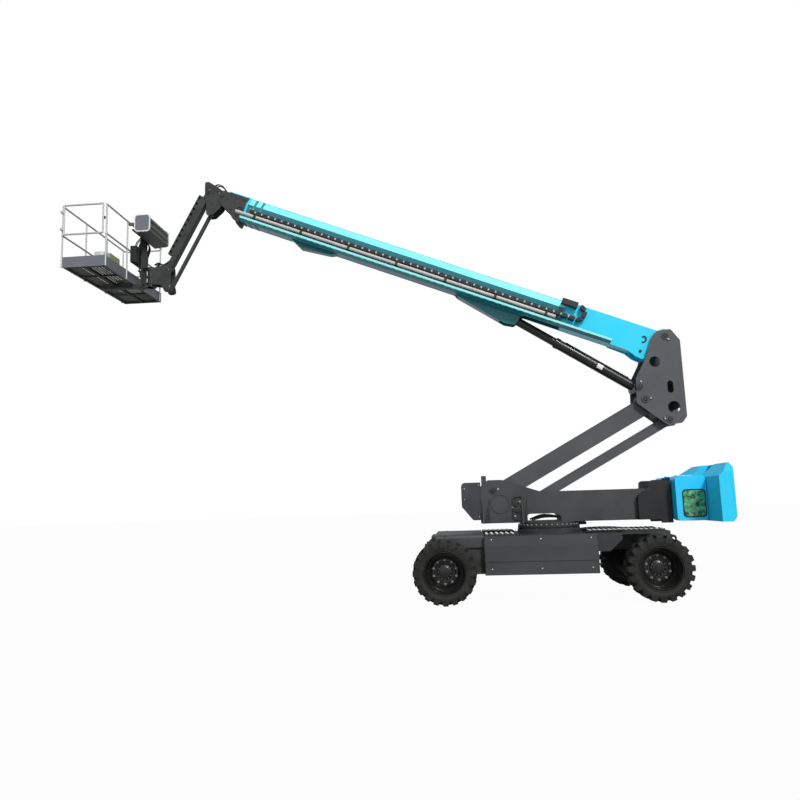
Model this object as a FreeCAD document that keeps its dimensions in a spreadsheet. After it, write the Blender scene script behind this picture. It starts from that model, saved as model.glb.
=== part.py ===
import FreeCAD, Part
import math
import os
from collections import namedtuple

import Sketcher
from FreeCAD import Placement, Rotation, Vector

# Articulated boom lift on four solid tyres: chassis with a steered axle, slewing turret,
# parallelogram riser, three-stage boom, levelled jib and a turning work platform.
#
# Frame: +Z up, origin on the ground under the middle of the whole machine. The booms point to -X,
# the counterweight to +X and the near side is -Y. Every length is in millimetres, every angle in
# degrees. Places along X are measured from the slew axis, which stands at slew_x.

doc = FreeCAD.newDocument("BoomLift")
sheet = doc.addObject("Spreadsheet::Sheet", "Sizes")


# ---------------------------------------------------------------- sizes and how they are bound

class Size:
    """A number together with the sheet formula that gives it."""

    def __init__(self, value, formula):
        self.value = float(value)
        self.formula = formula

    def __add__(self, other):
        other = size(other)
        return Size(self.value + other.value, f"({self.formula} + {other.formula})")

    __radd__ = __add__

    def __sub__(self, other):
        other = size(other)
        return Size(self.value - other.value, f"({self.formula} - {other.formula})")

    def __rsub__(self, other):
        return size(other) - self

    def __mul__(self, other):
        other = size(other)
        return Size(self.value * other.value, f"({self.formula} * {other.formula})")

    __rmul__ = __mul__

    def __truediv__(self, other):
        other = size(other)
        return Size(self.value / other.value, f"({self.formula} / {other.formula})")

    def __rtruediv__(self, other):
        return size(other) / self

    def __neg__(self):
        return Size(-self.value, f"(0 - {self.formula})")


def size(number):
    if isinstance(number, Size):
        return number
    return Size(number, repr(float(number)))


def sine(angle):
    return Size(math.sin(math.radians(angle.value)), f"sin({angle.formula})")


def cosine(angle):
    return Size(math.cos(math.radians(angle.value)), f"cos({angle.formula})")


def slope_of(rise, run):
    return Size(math.degrees(math.atan(rise.value / run.value)),
                f"atan({rise.formula} / {run.formula})")


DIMENSIONS = {
    # where the slew axis stands
    "slew_x": 2690,
    # wheels
    "tyre_radius": 515, "tyre_width": 355, "overall_width": 2490, "rim_radius": 330,
    "front_axle_x": -1810, "rear_axle_x": 1550, "lug_height": 42, "lug_share": 8.9,
    "hub_radius": 125, "hub_face": 75, "rim_wall": 14, "rim_sides": 24, "lugs": 20,
    "lug_root": 34, "shoulder": 50,
    # chassis
    "deck_height": 1058, "bay_front": -1158, "bay_rear": 663, "bay_bottom": 437,
    "bay_half": 950, "cover_thick": 18, "spine_half": 430, "spine_bottom": 770,
    "spine_front": -2020, "spine_rear": 1930, "shroud_half": 845, "shroud_top": 1092,
    "shroud_bottom": 880, "cover_fold_low": 652, "cover_fold_high": 905,
    "axle_radius": 110, "tread_thick": 34, "rear_deck_end": 1640, "rear_deck_thick": 22,
    "rear_plate_end": 1070, "rear_plate_low": 775,
    "lug_plate": 30, "lug_bore": 30, "lug_reach": 120, "lug_y": 330,
    # steering
    "kingpin_y": 760, "kingpin_radius": 45, "yoke_half": 170, "yoke_thick": 45, "drive_radius": 150,
    # slew ring
    "ring_radius": 540, "ring_bore": 400, "ring_low_top": 1150, "turret_bottom": 1245,
    # turret
    "plate": 20, "turret_inner": 290, "turret_front": -1162, "turret_rear": 2480,
    "turret_top": 1765, "hump_top": 1985, "hump_front": -1040, "hump_rear": -800,
    "hump_foot": -134, "arch_front": -414, "arch_rear": 189, "arch_top": 1389, "arch_corner": 95,
    "nose_front": -1497, "nose_bottom": 1305, "nose_top": 1952, "nose_half": 300,
    "housing_front": 1464, "housing_rear": 2010, "housing_face": 410, "housing_top": 1900,
    "housing_shoulder": 1640,
    "hood_front": 2030, "hood_rear": 2520, "hood_face": 620, "hood_bottom": 1216,
    "hood_top": 1950, "hood_corner": 70, "hood_wall": 12, "hinge_radius": 12, "hinge_pin": 6,
    "hinge_long": 276, "hinge_leaf": 44,
    "weight_front": 2535, "weight_half": 1215, "weight_reach": 3010, "weight_bottom": 1208,
    "weight_top": 1926, "crest_top": 2140, "crest_x": 2790, "crest_half": 880, "weight_corner": 85,
    "slot_half": 320, "slot_floor": 1300, "slot_rear": 2900,
    # riser: a parallelogram with its low end in the turret and its high end in the upright
    "arm_foot_x": -946, "arm_foot_z": 1815, "arm_length": 3090, "arm_angle": 28.9,
    "link_dx": 386, "link_dz": -366, "arm_half": 150, "arm_over": 50, "arm_under": 248,
    "arm_wall": 10, "arm_boss": 115, "link_over": 67, "link_under": 92, "link_half": 120,
    "link_wall": 8, "link_boss": 100,
    "pin_radius": 50, "pin_gap": 0.05, "head_radius": 68, "head_thick": 16,
    # upright
    "upright_inner": 225, "upright_plate": 25, "upright_back": 662, "upright_foot": 470,
    "upright_rim": 110, "port_high": 94, "port_low": 105, "port_slot": 98, "boom_dx": 416,
    "boom_dz": 1105, "ram_dx": -79, "ram_dz": 220,
    # boom, in its own frame: the pivot at the origin and the tip towards -X
    "boom_angle": 22.0, "boom_front": 8050, "boom_tail": 330, "boom_top": 62, "boom_shoulder": 70,
    "boom_bottom": 420, "boom_half": 150, "boom_top_half": 92, "boom_low_half": 118,
    "boom_wall": 8, "slide_gap": 7, "mid_beyond": 25, "mid_tail": 2745, "fly_beyond": 240,
    "fly_tail": 2785, "cheek_thick": 14, "cheek_front": 1810, "cheek_lobe": 515, "boom_boss": 120,
    "slot_start": 1755, "slot_end": 2726,
    # lift cylinder
    "ram_u": 2612, "ram_v": 515, "barrel_radius": 90, "gland_radius": 97, "gland_long": 80,
    "rod_radius": 76, "barrel_end": 1650, "rod_length": 1940, "ram_boss": 98, "ram_pin": 40,
    "ear_plate": 16, "ear_inner": 102, "ram_eye": 88,
    # drag chain and its tray
    "tray_face": 335, "tray_lip": 38, "tray_plate": 6, "tray_rear": 840, "chain_pitch": 136,
    "chain_link": 112, "chain_deep": 66, "chain_chamfer": 18, "chain_y": 235, "chain_half": 50,
    "chain_links": 47, "chain_turn_u": 1550, "chain_turn_v": 105, "chain_turn_radius": 122,
    "chain_block": 290, "tube_radius": 30, "tube_y": 300, "tube_v": 315, "tube_start": 1900,
    # boom head and nose bracket
    "head_plate": 12, "head_half": 134, "nose_beyond": 580, "nose_v": 50,
    "bracket_half": 112, "bracket_plate": 14, "jib_dx": -289, "jib_dz": 95, "jib_pin": 32,
    "jib_boss": 62, "collar_long": 20,
    # jib
    "jib_angle": 62.1, "jib_length": 1673, "jib_deep": 100, "jib_half": 72, "jib_wall": 7,
    "jib_link_dx": 34, "jib_link_dz": -424, "jib_link_deep": 56, "jib_link_half": 30,
    "link_eye": 46, "guard_low": 64, "guard_high": 148, "guard_plate": 5, "guard_hole": 23,
    "guard_start": 120, "guard_end": 1420, "guard_holes": 11,
    # platform
    "turn_x": -340, "turn_radius": 88, "floor_dz": -237, "cage_long": 2400, "cage_wide": 810,
    "cage_gap": 320, "floor_thick": 45, "toe_height": 150, "toe_plate": 5, "rail_height": 1085,
    "mid_height": 545, "rail_radius": 17, "post_radius": 15, "gate_offset": 45,
    "cage_corner": 110,
    "rotator_low": -325, "rotator_high": 20, "rotator_pin": 45, "ear_thick": 16,
    "bracket_back": 160,
    "console_low": 590, "console_high": 950, "console_reach": 124, "console_half": 420,
}


class Named:
    """The sheet's cells by their aliases: a plate is S.plate."""

    def __init__(self, numbers):
        for row, (alias, number) in enumerate(numbers.items(), start=1):
            sheet.set(f"A{row}", alias)
            sheet.set(f"B{row}", str(number))
            sheet.setAlias(f"B{row}", alias)
            setattr(self, alias, Size(number, f"Sizes.{alias}"))


S = Named(DIMENSIONS)
doc.recompute()


def bind(thing, path, amount):
    thing.setExpression(path, size(amount).formula)


AXES = {"x": Vector(1, 0, 0), "y": Vector(0, 1, 0), "z": Vector(0, 0, 1)}


def place(thing, x=0, y=0, z=0, turn=0, about="y"):
    """Put a piece at a point, turned about one of the axes."""
    axis, turn = AXES[about], size(turn)
    if turn.value < 0:
        axis, turn = -axis, -turn
    thing.Placement = Placement(Vector(0, 0, 0), Rotation(axis, 1))
    bind(thing, "Placement.Rotation.Angle", turn)
    bind(thing, "Placement.Base.x", x)
    bind(thing, "Placement.Base.y", y)
    bind(thing, "Placement.Base.z", z)
    return thing


# ---------------------------------------------------------------- how the pieces are made

Hole = namedtuple("Hole", "x y radius")
ORIGIN = (-1, 1)


def pin_down(drawing, point, x, y):
    """Hold a sketch point at a place that the sheet gives."""
    for kind, amount in (("DistanceX", size(x)), ("DistanceY", size(y))):
        index = drawing.addConstraint(
            Sketcher.Constraint(kind, *ORIGIN, *point, amount.value))
        bind(drawing, f"Constraints[{index}]", amount)


def draw_hole(drawing, hole):
    centre = Vector(size(hole.x).value, size(hole.y).value, 0)
    radius = size(hole.radius)
    circle = drawing.addGeometry(Part.Circle(centre, Vector(0, 0, 1), radius.value), False)
    index = drawing.addConstraint(Sketcher.Constraint("Radius", circle, radius.value))
    bind(drawing, f"Constraints[{index}]", radius)
    pin_down(drawing, (circle, 3), hole.x, hole.y)


def draw_outline(drawing, corners):
    """A closed outline of straight edges; a corner with a third value is rounded to that radius."""
    points = [Vector(size(c[0]).value, size(c[1]).value, 0) for c in corners]
    radii = [size(c[2]) if len(c) > 2 else None for c in corners]
    count = len(corners)
    entry, leave, centres = [], [], []
    for i, point in enumerate(points):
        to_last = (points[i - 1] - point).normalize()
        to_next = (points[(i + 1) % count] - point).normalize()
        if radii[i] is None:
            entry.append(point)
            leave.append(point)
            centres.append(None)
            continue
        half = to_last.getAngle(to_next) / 2
        back = radii[i].value / math.tan(half)
        entry.append(point + to_last * back)
        leave.append(point + to_next * back)
        bisector = (to_last + to_next).normalize()
        centres.append(point + bisector * (radii[i].value / math.sin(half)))
    edges = [drawing.addGeometry(Part.LineSegment(leave[i], entry[(i + 1) % count]), False)
             for i in range(count)]
    for i, point in enumerate(points):
        before, after = edges[i - 1], edges[i]
        if radii[i] is None:
            drawing.addConstraint(Sketcher.Constraint("Coincident", before, 2, after, 1))
            pin_down(drawing, (after, 1), corners[i][0], corners[i][1])
            continue
        start = entry[i] - centres[i]
        end = leave[i] - centres[i]
        angles = [math.atan2(start.y, start.x), math.atan2(end.y, end.x)]
        left_turn = start.x * end.y - start.y * end.x > 0
        if not left_turn:
            angles.reverse()
        circle = Part.Circle(centres[i], Vector(0, 0, 1), radii[i].value)
        arc = drawing.addGeometry(Part.ArcOfCircle(circle, *angles), False)
        first, second = (1, 2) if left_turn else (2, 1)
        drawing.addConstraint(Sketcher.Constraint("Tangent", before, 2, arc, first))
        drawing.addConstraint(Sketcher.Constraint("Tangent", arc, second, after, 1))
        index = drawing.addConstraint(Sketcher.Constraint("Radius", arc, radii[i].value))
        bind(drawing, f"Constraints[{index}]", radii[i])
        corner = drawing.addGeometry(Part.Point(point), True)
        drawing.addConstraint(Sketcher.Constraint("PointOnObject", corner, 1, before))
        drawing.addConstraint(Sketcher.Constraint("PointOnObject", corner, 1, after))
        pin_down(drawing, (corner, 1), corners[i][0], corners[i][1])


def sketch(body, plane, loops, offset=0):
    """A sketch on one of the body's own planes, from outlines and round holes."""
    drawing = body.newObject("Sketcher::SketchObject", body.Name + "_sketch")
    base = [f for f in body.Origin.OriginFeatures if f.Role == plane][0]
    drawing.AttachmentSupport = (base, [""])
    drawing.MapMode = "FlatFace"
    bind(drawing, "AttachmentOffset.Base.z", offset)
    for loop in loops:
        if isinstance(loop, Hole):
            draw_hole(drawing, loop)
        else:
            draw_outline(drawing, loop)
    return drawing


def pad(name, plane, loops, low, high):
    """A body padded between two levels: XZ outlines run along Y, XY ones up Z, YZ ones along X."""
    body = doc.addObject("PartDesign::Body", name)
    backwards = plane == "XZ_Plane"
    drawing = sketch(body, plane, loops, -size(low) if backwards else size(low))
    solid = body.newObject("PartDesign::Pad", name + "_pad")
    solid.Profile = drawing
    solid.Reversed = backwards
    bind(solid, "Length", size(high) - size(low))
    return body


def side_pad(name, loops, low, high):
    return pad(name, "XZ_Plane", loops, low, high)


def flat_pad(name, loops, low, high):
    return pad(name, "XY_Plane", loops, low, high)


def cross_pad(name, loops, low, high):
    return pad(name, "YZ_Plane", loops, low, high)


def turned(name, outline):
    """A body turned about its own Z axis from an outline of radius and height."""
    body = doc.addObject("PartDesign::Body", name)
    drawing = sketch(body, "XZ_Plane", [outline])
    solid = body.newObject("PartDesign::Revolution", name + "_turned")
    solid.Profile = drawing
    solid.ReferenceAxis = (drawing, ["V_Axis"])
    solid.Angle = 360
    return body


def rod(name, radius, low, high, x=0, y=0, z=0, along="y"):
    """A round bar along one axis, between two places on it."""
    bar = doc.addObject("Part::Cylinder", name)
    turn, about = {"x": (90, "y"), "y": (-90, "x"), "z": (0, "z")}[along]
    start = {"x": x, "y": y, "z": z}
    start[along] = low
    place(bar, start["x"], start["y"], start["z"], turn, about)
    bind(bar, "Radius", radius)
    bind(bar, "Height", size(high) - size(low))
    return bar


def bar(name, radius, low, high, x=0, y=0, z=0, along="y"):
    """An eight-sided bar along one axis, between two places on it."""
    turn, about = {"x": (90, "y"), "y": (-90, "x"), "z": (0, "z")}[along]
    start = {"x": x, "y": y, "z": z}
    start[along] = low
    end = doc.addObject("Part::RegularPolygon", name + "_end")
    end.Polygon = 8
    bind(end, "Circumradius", radius)
    prism = doc.addObject("Part::Extrusion", name)
    prism.Base = end
    prism.Dir = Vector(0, 0, 1)
    prism.DirMode = "Custom"
    prism.Solid = True
    bind(prism, "LengthFwd", size(high) - size(low))
    return place(prism, start["x"], start["y"], start["z"], turn, about)


def box(name, x, y, z):
    """A block between two places on each axis."""
    block = doc.addObject("Part::Box", name)
    for prop, (low, high) in (("Length", x), ("Width", y), ("Height", z)):
        bind(block, prop, size(high) - size(low))
    return place(block, x[0], y[0], z[0])


def fuse(name, *pieces):
    whole = doc.addObject("Part::MultiFuse", name)
    whole.Shapes = list(pieces)
    return whole


def cut(name, base, *tools):
    whole = doc.addObject("Part::Cut", name)
    whole.Base = base
    if len(tools) == 1:
        whole.Tool = tools[0]
    else:
        whole.Tool = group(name + "_tools", *tools)
    return whole


def group(name, *pieces):
    several = doc.addObject("Part::Compound", name)
    several.Links = list(pieces)
    return several


def mirrored(name, source, normal="y"):
    twin = doc.addObject("Part::Mirroring", name)
    twin.Source = source
    twin.Normal = AXES[normal]
    return twin


PIECES = {}


def piece(node, thing, x=0, y=0, z=0, turn=0, about="y"):
    """Name a finished sub-part and put it in its place on the machine."""
    thing.Label = node
    PIECES[node] = thing
    return place(thing, x, y, z, turn, about)


def pin_with_heads(name, radius, reach, x, z, head=None):
    """A pivot pin across the machine with a head outside the plates at each end."""
    head = head or S.head_radius
    shank = rod(name + "_shank", radius, -reach, reach, x=x, z=z)
    near = rod(name + "_near", head, -reach - S.head_thick, -reach, x=x, z=z)
    far = rod(name + "_far", head, reach, reach + S.head_thick, x=x, z=z)
    return fuse(name, shank, near, far)


# ---------------------------------------------------------------- chassis

WHEEL_Y = (S.overall_width - S.tyre_width) / 2
AXLE_Z = S.tyre_radius


def chassis_frame():
    """Welded spine with the battery bay across it and an arched cover between the front wheels."""
    wall = 12
    half, low, top = S.spine_half, S.spine_bottom, S.deck_height
    spine = cross_pad("spine", [
        [(-half, low, 30), (half, low, 30), (half, top), (-half, top)],
        [(-half + wall, low + wall), (half - wall, low + wall),
         (half - wall, top - wall), (-half + wall, top - wall)]], S.spine_front, S.spine_rear)
    inside = S.bay_half - S.cover_thick
    bay_top = box("bay_top", (S.bay_front, S.bay_rear), (-inside, inside), (top - wall, top))
    bay_floor = box("bay_floor", (S.bay_front, S.bay_rear), (-inside, inside),
                    (S.bay_bottom, S.bay_bottom + wall))
    bay_nose = box("bay_nose", (S.bay_front, S.bay_front + wall), (-inside, inside),
                   (S.bay_bottom, low + wall))
    bay_tail = box("bay_tail", (S.bay_rear - wall, S.bay_rear), (-inside, inside),
                   (S.bay_bottom, low + wall))
    ends = []
    for name, x in (("front", S.bay_front), ("rear", S.bay_rear - wall)):
        for side, y in (("near", -inside), ("far", half)):
            ends.append(box(f"bay_end_{name}_{side}", (x, x + wall), (y, y + inside - half),
                            (low, top)))
    shroud_half, shroud_wall = S.shroud_half, 6
    shroud = cross_pad("shroud", [[
        (-shroud_half, S.shroud_bottom), (-shroud_half, S.shroud_top, 60),
        (shroud_half, S.shroud_top, 60), (shroud_half, S.shroud_bottom),
        (shroud_half - shroud_wall, S.shroud_bottom),
        (shroud_half - shroud_wall, S.shroud_top - shroud_wall, 54),
        (-shroud_half + shroud_wall, S.shroud_top - shroud_wall, 54),
        (-shroud_half + shroud_wall, S.shroud_bottom)]], S.front_axle_x - 150, S.bay_front)
    deck_rib = box("deck_rib", (S.front_axle_x, S.front_axle_x + 40), (-shroud_half, shroud_half),
                   (S.deck_height, S.shroud_top))
    whole = fuse("chassis_weld", spine, bay_top, bay_floor, bay_nose, bay_tail, *ends, shroud,
                 deck_rib)
    piece("chassis_frame", whole, S.slew_x)


def side_covers():
    """Folded sheet covers screwed over the battery bay, one each side."""
    out, back = S.bay_half, S.bay_half - S.cover_thick
    near = cross_pad("side_cover", [[
        (-back, S.bay_bottom), (-out + 8, S.bay_bottom), (-out + 8, S.cover_fold_low - 12),
        (-out, S.cover_fold_low), (-out, S.cover_fold_high),
        (-out + 8, S.deck_height - 2), (-back, S.deck_height - 2)]],
        S.bay_front, S.bay_rear)
    piece("side_covers", group("covers", near, mirrored("side_cover_twin", near)), S.slew_x)


def battery_packs():
    """The traction batteries: one plain block each side of the spine, closed in by the covers."""
    gap = 20
    low = S.bay_bottom + 12
    blocks = []
    for side, y in (("near", -S.bay_half + S.cover_thick + gap), ("far", S.spine_half + gap)):
        wide = S.bay_half - S.cover_thick - S.spine_half - 2 * size(gap)
        blocks.append(box(f"battery_{side}", (S.bay_front + 40, S.bay_rear - 40), (y, y + wide),
                          (low, S.deck_height - 60)))
    piece("battery_packs", group("batteries", *blocks), S.slew_x)


def deck_treads():
    """Step planks on the chassis top, the rear deck plates and the wings folded down from them."""
    top = S.deck_height
    planks = []
    for name, low, high, half in (
            ("front", S.bay_front + 20, -S.ring_radius - 40, S.bay_half - 60),
            ("rear", S.ring_radius + 60, S.spine_rear - 60, S.spine_half - 15)):
        planks.append(box(f"plank_{name}_near", (low, high), (-half, -half * 0.35),
                          (top, top + S.tread_thick)))
        planks.append(box(f"plank_{name}_far", (low, high), (half * 0.35, half),
                          (top, top + S.tread_thick)))
    edge, under = S.shroud_half, top - S.rear_deck_thick
    end, foot = S.rear_plate_end, S.rear_plate_low
    outline = [(S.bay_rear, foot), (S.bay_rear + (end - S.bay_rear) / 2, foot),
               (end, foot + (top - foot) * 0.65), (end, under), (S.bay_rear, under)]
    deck = box("rear_deck", (S.bay_rear, S.rear_deck_end), (-edge, -S.spine_half), (under, top))
    wing = side_pad("rear_wing", [outline], -edge, -edge + 12)
    planks += [deck, wing, mirrored("rear_deck_twin", deck), mirrored("rear_wing_twin", wing)]
    piece("deck_treads", group("treads", *planks), S.slew_x)


def tie_downs():
    """Bored lashing lugs at the four corners of the spine; each pair shares an end plate.

    The front pair lies flat, so that a pin reaches its eyes from below between the wheels.
    """
    half_plate = S.lug_plate / 2
    height = (S.spine_bottom + S.deck_height) / 2
    ends = []
    for end, face, sign in (("front", S.spine_front, -1), ("rear", S.spine_rear, 1)):
        plate_out = face + sign * 16
        low, high = (plate_out, face) if sign < 0 else (face, plate_out)
        plate = box(f"end_plate_{end}", (low, high), (-S.spine_half, S.spine_half),
                    (S.spine_bottom, S.deck_height))
        lugs = []
        eye = plate_out + sign * S.lug_reach
        for side, y in (("near", -S.lug_y), ("far", S.lug_y)):
            flat = end == "front"
            across = y if flat else height
            outline = [(plate_out, across - 90), (eye, across - 55, 50), (eye, across + 55, 50),
                       (plate_out, across + 90)]
            hole = Hole(eye - sign * 55, across, S.lug_bore)
            raise_lug, middle = (flat_pad, height) if flat else (side_pad, y)
            lugs.append(raise_lug(f"lug_{end}_{side}", [outline, hole], middle - half_plate,
                                  middle + half_plate))
        ends.append(fuse(f"lugs_{end}", plate, *lugs))
    piece("tie_downs", group("tie_down_set", *ends), S.slew_x)


HUB_OUT = WHEEL_Y - S.hub_face - S.rim_wall


def front_axle():
    """Fixed axle tube with a planetary drive at each end, hung under the spine."""
    tube = rod("front_tube", S.axle_radius, -S.kingpin_y, S.kingpin_y, z=AXLE_Z)
    drives = [rod("front_drive_near", S.drive_radius, -HUB_OUT, -S.kingpin_y, z=AXLE_Z),
              rod("front_drive_far", S.drive_radius, S.kingpin_y, HUB_OUT, z=AXLE_Z)]
    saddle = cross_pad("front_saddle", [[
        (-320, AXLE_Z), (320, AXLE_Z), (S.spine_half - 20, S.spine_bottom),
        (-S.spine_half + 20, S.spine_bottom)]], -130, 130)
    piece("front_axle", fuse("front_axle_weld", tube, *drives, saddle), S.slew_x + S.front_axle_x)


def rear_axle():
    """Axle beam with a fork at each end that holds the kingpin of a steered knuckle."""
    inner = S.kingpin_y - 130
    beam = rod("rear_tube", S.axle_radius, -inner, inner, z=AXLE_Z)
    saddle = cross_pad("rear_saddle", [[
        (-320, AXLE_Z), (320, AXLE_Z), (S.spine_half - 20, S.spine_bottom),
        (-S.spine_half + 20, S.spine_bottom)]], -130, 130)
    forks = []
    high = S.yoke_half
    low = high - S.yoke_thick
    for side, sign in (("near", -1), ("far", 1)):
        back = sign * (inner - 40)
        front = sign * inner
        edge = (back, front) if sign > 0 else (front, back)
        forks.append(box(f"fork_back_{side}", (-100, 100), edge, (AXLE_Z - high, AXLE_Z + high)))
        tip = sign * (S.kingpin_y + 72)
        arm = [(-80, back), (80, back), (74, tip, 60), (-74, tip, 60)]
        if sign < 0:
            arm.reverse()
        bore = Hole(0, sign * S.kingpin_y, S.kingpin_radius + S.pin_gap)
        forks.append(flat_pad(f"fork_top_{side}", [arm, bore], AXLE_Z + low, AXLE_Z + high))
        forks.append(flat_pad(f"fork_low_{side}", [arm, bore], AXLE_Z - high, AXLE_Z - low))
    piece("rear_axle", fuse("rear_axle_weld", beam, saddle, *forks), S.slew_x + S.rear_axle_x)


def knuckles():
    """Steered knuckles: kingpin, boss and planetary drive; each turns in a fork of the rear axle."""
    boss_half = S.yoke_half - S.yoke_thick - 5
    for side, sign in (("near", -1), ("far", 1)):
        y = sign * S.kingpin_y
        pin = rod(f"kingpin_{side}", S.kingpin_radius, AXLE_Z - S.yoke_half, AXLE_Z + S.yoke_half,
                  y=y, along="z")
        boss = rod(f"knuckle_boss_{side}", S.kingpin_radius + 35, AXLE_Z - boss_half,
                   AXLE_Z + boss_half, y=y, along="z")
        inner, outer = y, sign * HUB_OUT
        neck_end = sign * (S.kingpin_y + 88)
        neck = rod(f"knuckle_neck_{side}", S.axle_radius - 5, *sorted_pair(inner, neck_end), z=AXLE_Z)
        drive = rod(f"knuckle_drive_{side}", S.drive_radius, *sorted_pair(neck_end, outer), z=AXLE_Z)
        knuckle = fuse(f"knuckle_weld_{side}", pin, boss, neck, drive)
        piece(f"knuckle_{side}", knuckle, S.slew_x + S.rear_axle_x)


def sorted_pair(one, other):
    """Two places on an axis, the lower first."""
    return (one, other) if one.value < other.value else (other, one)


def polygon_ring(name, sides, stations):
    """A many-sided solid of revolution about Z, ruled between regular polygons."""
    rings = []
    for index, (radius, height) in enumerate(stations):
        ring = doc.addObject("Part::RegularPolygon", f"{name}_ring{index}")
        bind(ring, "Polygon", sides)
        bind(ring, "Circumradius", radius)
        place(ring, z=height)
        rings.append(ring)
    loft = doc.addObject("Part::Loft", name)
    loft.Sections = rings
    loft.Solid = True
    loft.Ruled = True
    return loft


def lug_row(name, low, high, first):
    """A ring of shoulder lugs between two levels, the first one starting at an angle."""
    outer = S.tyre_radius
    inner = outer - S.lug_height - S.lug_root
    start, end = size(first), size(first) + S.lug_share
    body = doc.addObject("PartDesign::Body", name)
    body.AllowCompound = True
    outline = [(inner * cosine(start), inner * sine(start)), (inner * cosine(end), inner * sine(end)),
               (outer * cosine(end), outer * sine(end)),
               (outer * cosine(start), outer * sine(start))]
    drawing = sketch(body, "XY_Plane", [outline], low)
    lug = body.newObject("PartDesign::Pad", name + "_lug")
    lug.Profile = drawing
    bind(lug, "Length", size(high) - size(low))
    ring = body.newObject("PartDesign::PolarPattern", name + "_ring")
    ring.Originals = [lug]
    ring.Axis = (drawing, ["N_Axis"])
    ring.Angle = 360
    bind(ring, "Occurrences", S.lugs)
    body.Tip = ring
    return body


def tyre():
    """Solid tyre, axis on Z and outer face upwards: a faceted carcass and two rows of lugs."""
    half = S.tyre_width / 2
    crown = S.tyre_radius - S.lug_height
    carcass = polygon_ring("carcass", S.lugs, [
        (crown - 40, -half), (crown, -half + S.shoulder), (crown, half - S.shoulder),
        (crown - 40, half)])
    seat = S.rim_radius + 1
    bore = polygon_ring("tyre_bore", S.rim_sides, [(seat, -half - 1), (seat, half + 1)])
    middle = 8
    outer_row = lug_row("outer_lugs", middle, half - S.shoulder, -90)
    half_pitch = 180 / S.lugs
    inner_row = lug_row("inner_lugs", -half + S.shoulder, -size(middle), half_pitch - 90)
    return fuse("tyre_whole", cut("tyre_ring", carcass, bore), outer_row, inner_row)


def rim():
    """Dished steel rim, axis on Z and outer face upwards, bolted to the drive at its deep disc."""
    half = S.tyre_width / 2 - 12
    radius, wall = S.rim_radius, S.rim_wall
    face = -S.hub_face
    barrel = polygon_ring("rim_barrel", S.rim_sides, [(radius, -half), (radius, half)])
    back = polygon_ring("rim_back", S.rim_sides, [
        (radius - wall, -half - 1), (radius - wall, face - wall)])
    dish = polygon_ring("rim_dish", S.rim_sides, [
        (radius - wall - 14, face), (radius - wall, face + 60), (radius - wall, half + 1)])
    hub = polygon_ring("rim_hub", S.rim_sides, [(S.hub_radius, face - 1),
                                                (S.hub_radius - 13, face + 34)])
    return fuse("rim_whole", cut("rim_shell", barrel, back, dish), hub)


def wheels():
    """Four wheels alike; the near ones are turned so that their outer faces point to -Y."""
    rubber, steel = tyre(), rim()
    for end, x in (("front", S.front_axle_x), ("rear", S.rear_axle_x)):
        for side, sign, turn in (("near", -1, 90), ("far", 1, -90)):
            for kind, source in (("tyre", rubber), ("rim", steel)):
                node = f"{kind}_{end}_{side}"
                copy = group(node + "_copy", source)
                piece(node, copy, S.slew_x + x, sign * WHEEL_Y, AXLE_Z, turn, "x")


# ---------------------------------------------------------------- slew ring and turret

def slew_rings():
    """The slewing bearing: a fixed ring on the chassis and a turning ring with its drive above."""
    lower = turned("ring_lower", [(S.ring_bore, S.deck_height), (S.ring_radius, S.deck_height),
                                  (S.ring_radius, S.ring_low_top - 24),
                                  (S.ring_radius - 24, S.ring_low_top),
                                  (S.ring_bore, S.ring_low_top)])
    piece("slew_ring_fixed", lower, S.slew_x)
    gap = 5
    base = S.ring_low_top + gap
    upper = turned("ring_upper", [(S.ring_bore, base), (S.ring_radius - 14, base),
                                  (S.ring_radius - 14, base + 36), (S.ring_radius - 46, base + 50),
                                  (S.ring_radius - 46, S.turret_bottom),
                                  (S.ring_bore, S.turret_bottom)])
    drive = side_pad("slew_drive", [[
        (S.ring_radius - 80, S.turret_bottom - 62), (S.ring_radius + 95, S.turret_bottom - 62, 20),
        (S.ring_radius + 95, S.turret_bottom - 20, 12), (S.ring_radius + 20, S.turret_bottom),
        (S.ring_radius - 80, S.turret_bottom)]], -120, 120)
    piece("slew_ring_turning", fuse("ring_upper_weld", upper, drive), S.slew_x)


def turret_side(name, low, high):
    """One side plate of the turret, with its pin hump, its arch over the ring and its pin bores."""
    fit = S.pin_radius + S.pin_gap
    outline = [
        (S.turret_front, S.turret_bottom), (S.turret_front, S.arm_foot_z + 60, 40),
        (S.hump_front, S.hump_top, 60), (S.hump_rear, S.hump_top, 160),
        (S.hump_foot, S.turret_top, 200), (S.turret_rear, S.turret_top),
        (S.turret_rear, S.turret_bottom), (S.arch_rear, S.turret_bottom),
        (S.arch_rear, S.arch_top, S.arch_corner), (S.arch_front, S.arch_top, S.arch_corner),
        (S.arch_front, S.turret_bottom)]
    bores = [Hole(S.arm_foot_x, S.arm_foot_z, fit),
             Hole(S.arm_foot_x + S.link_dx, S.arm_foot_z + S.link_dz, fit)]
    return side_pad(name, [outline, *bores], low, high)


HINGE_Y = S.turret_inner + S.plate - 6
HINGE_Z = S.hood_top + 6


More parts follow.
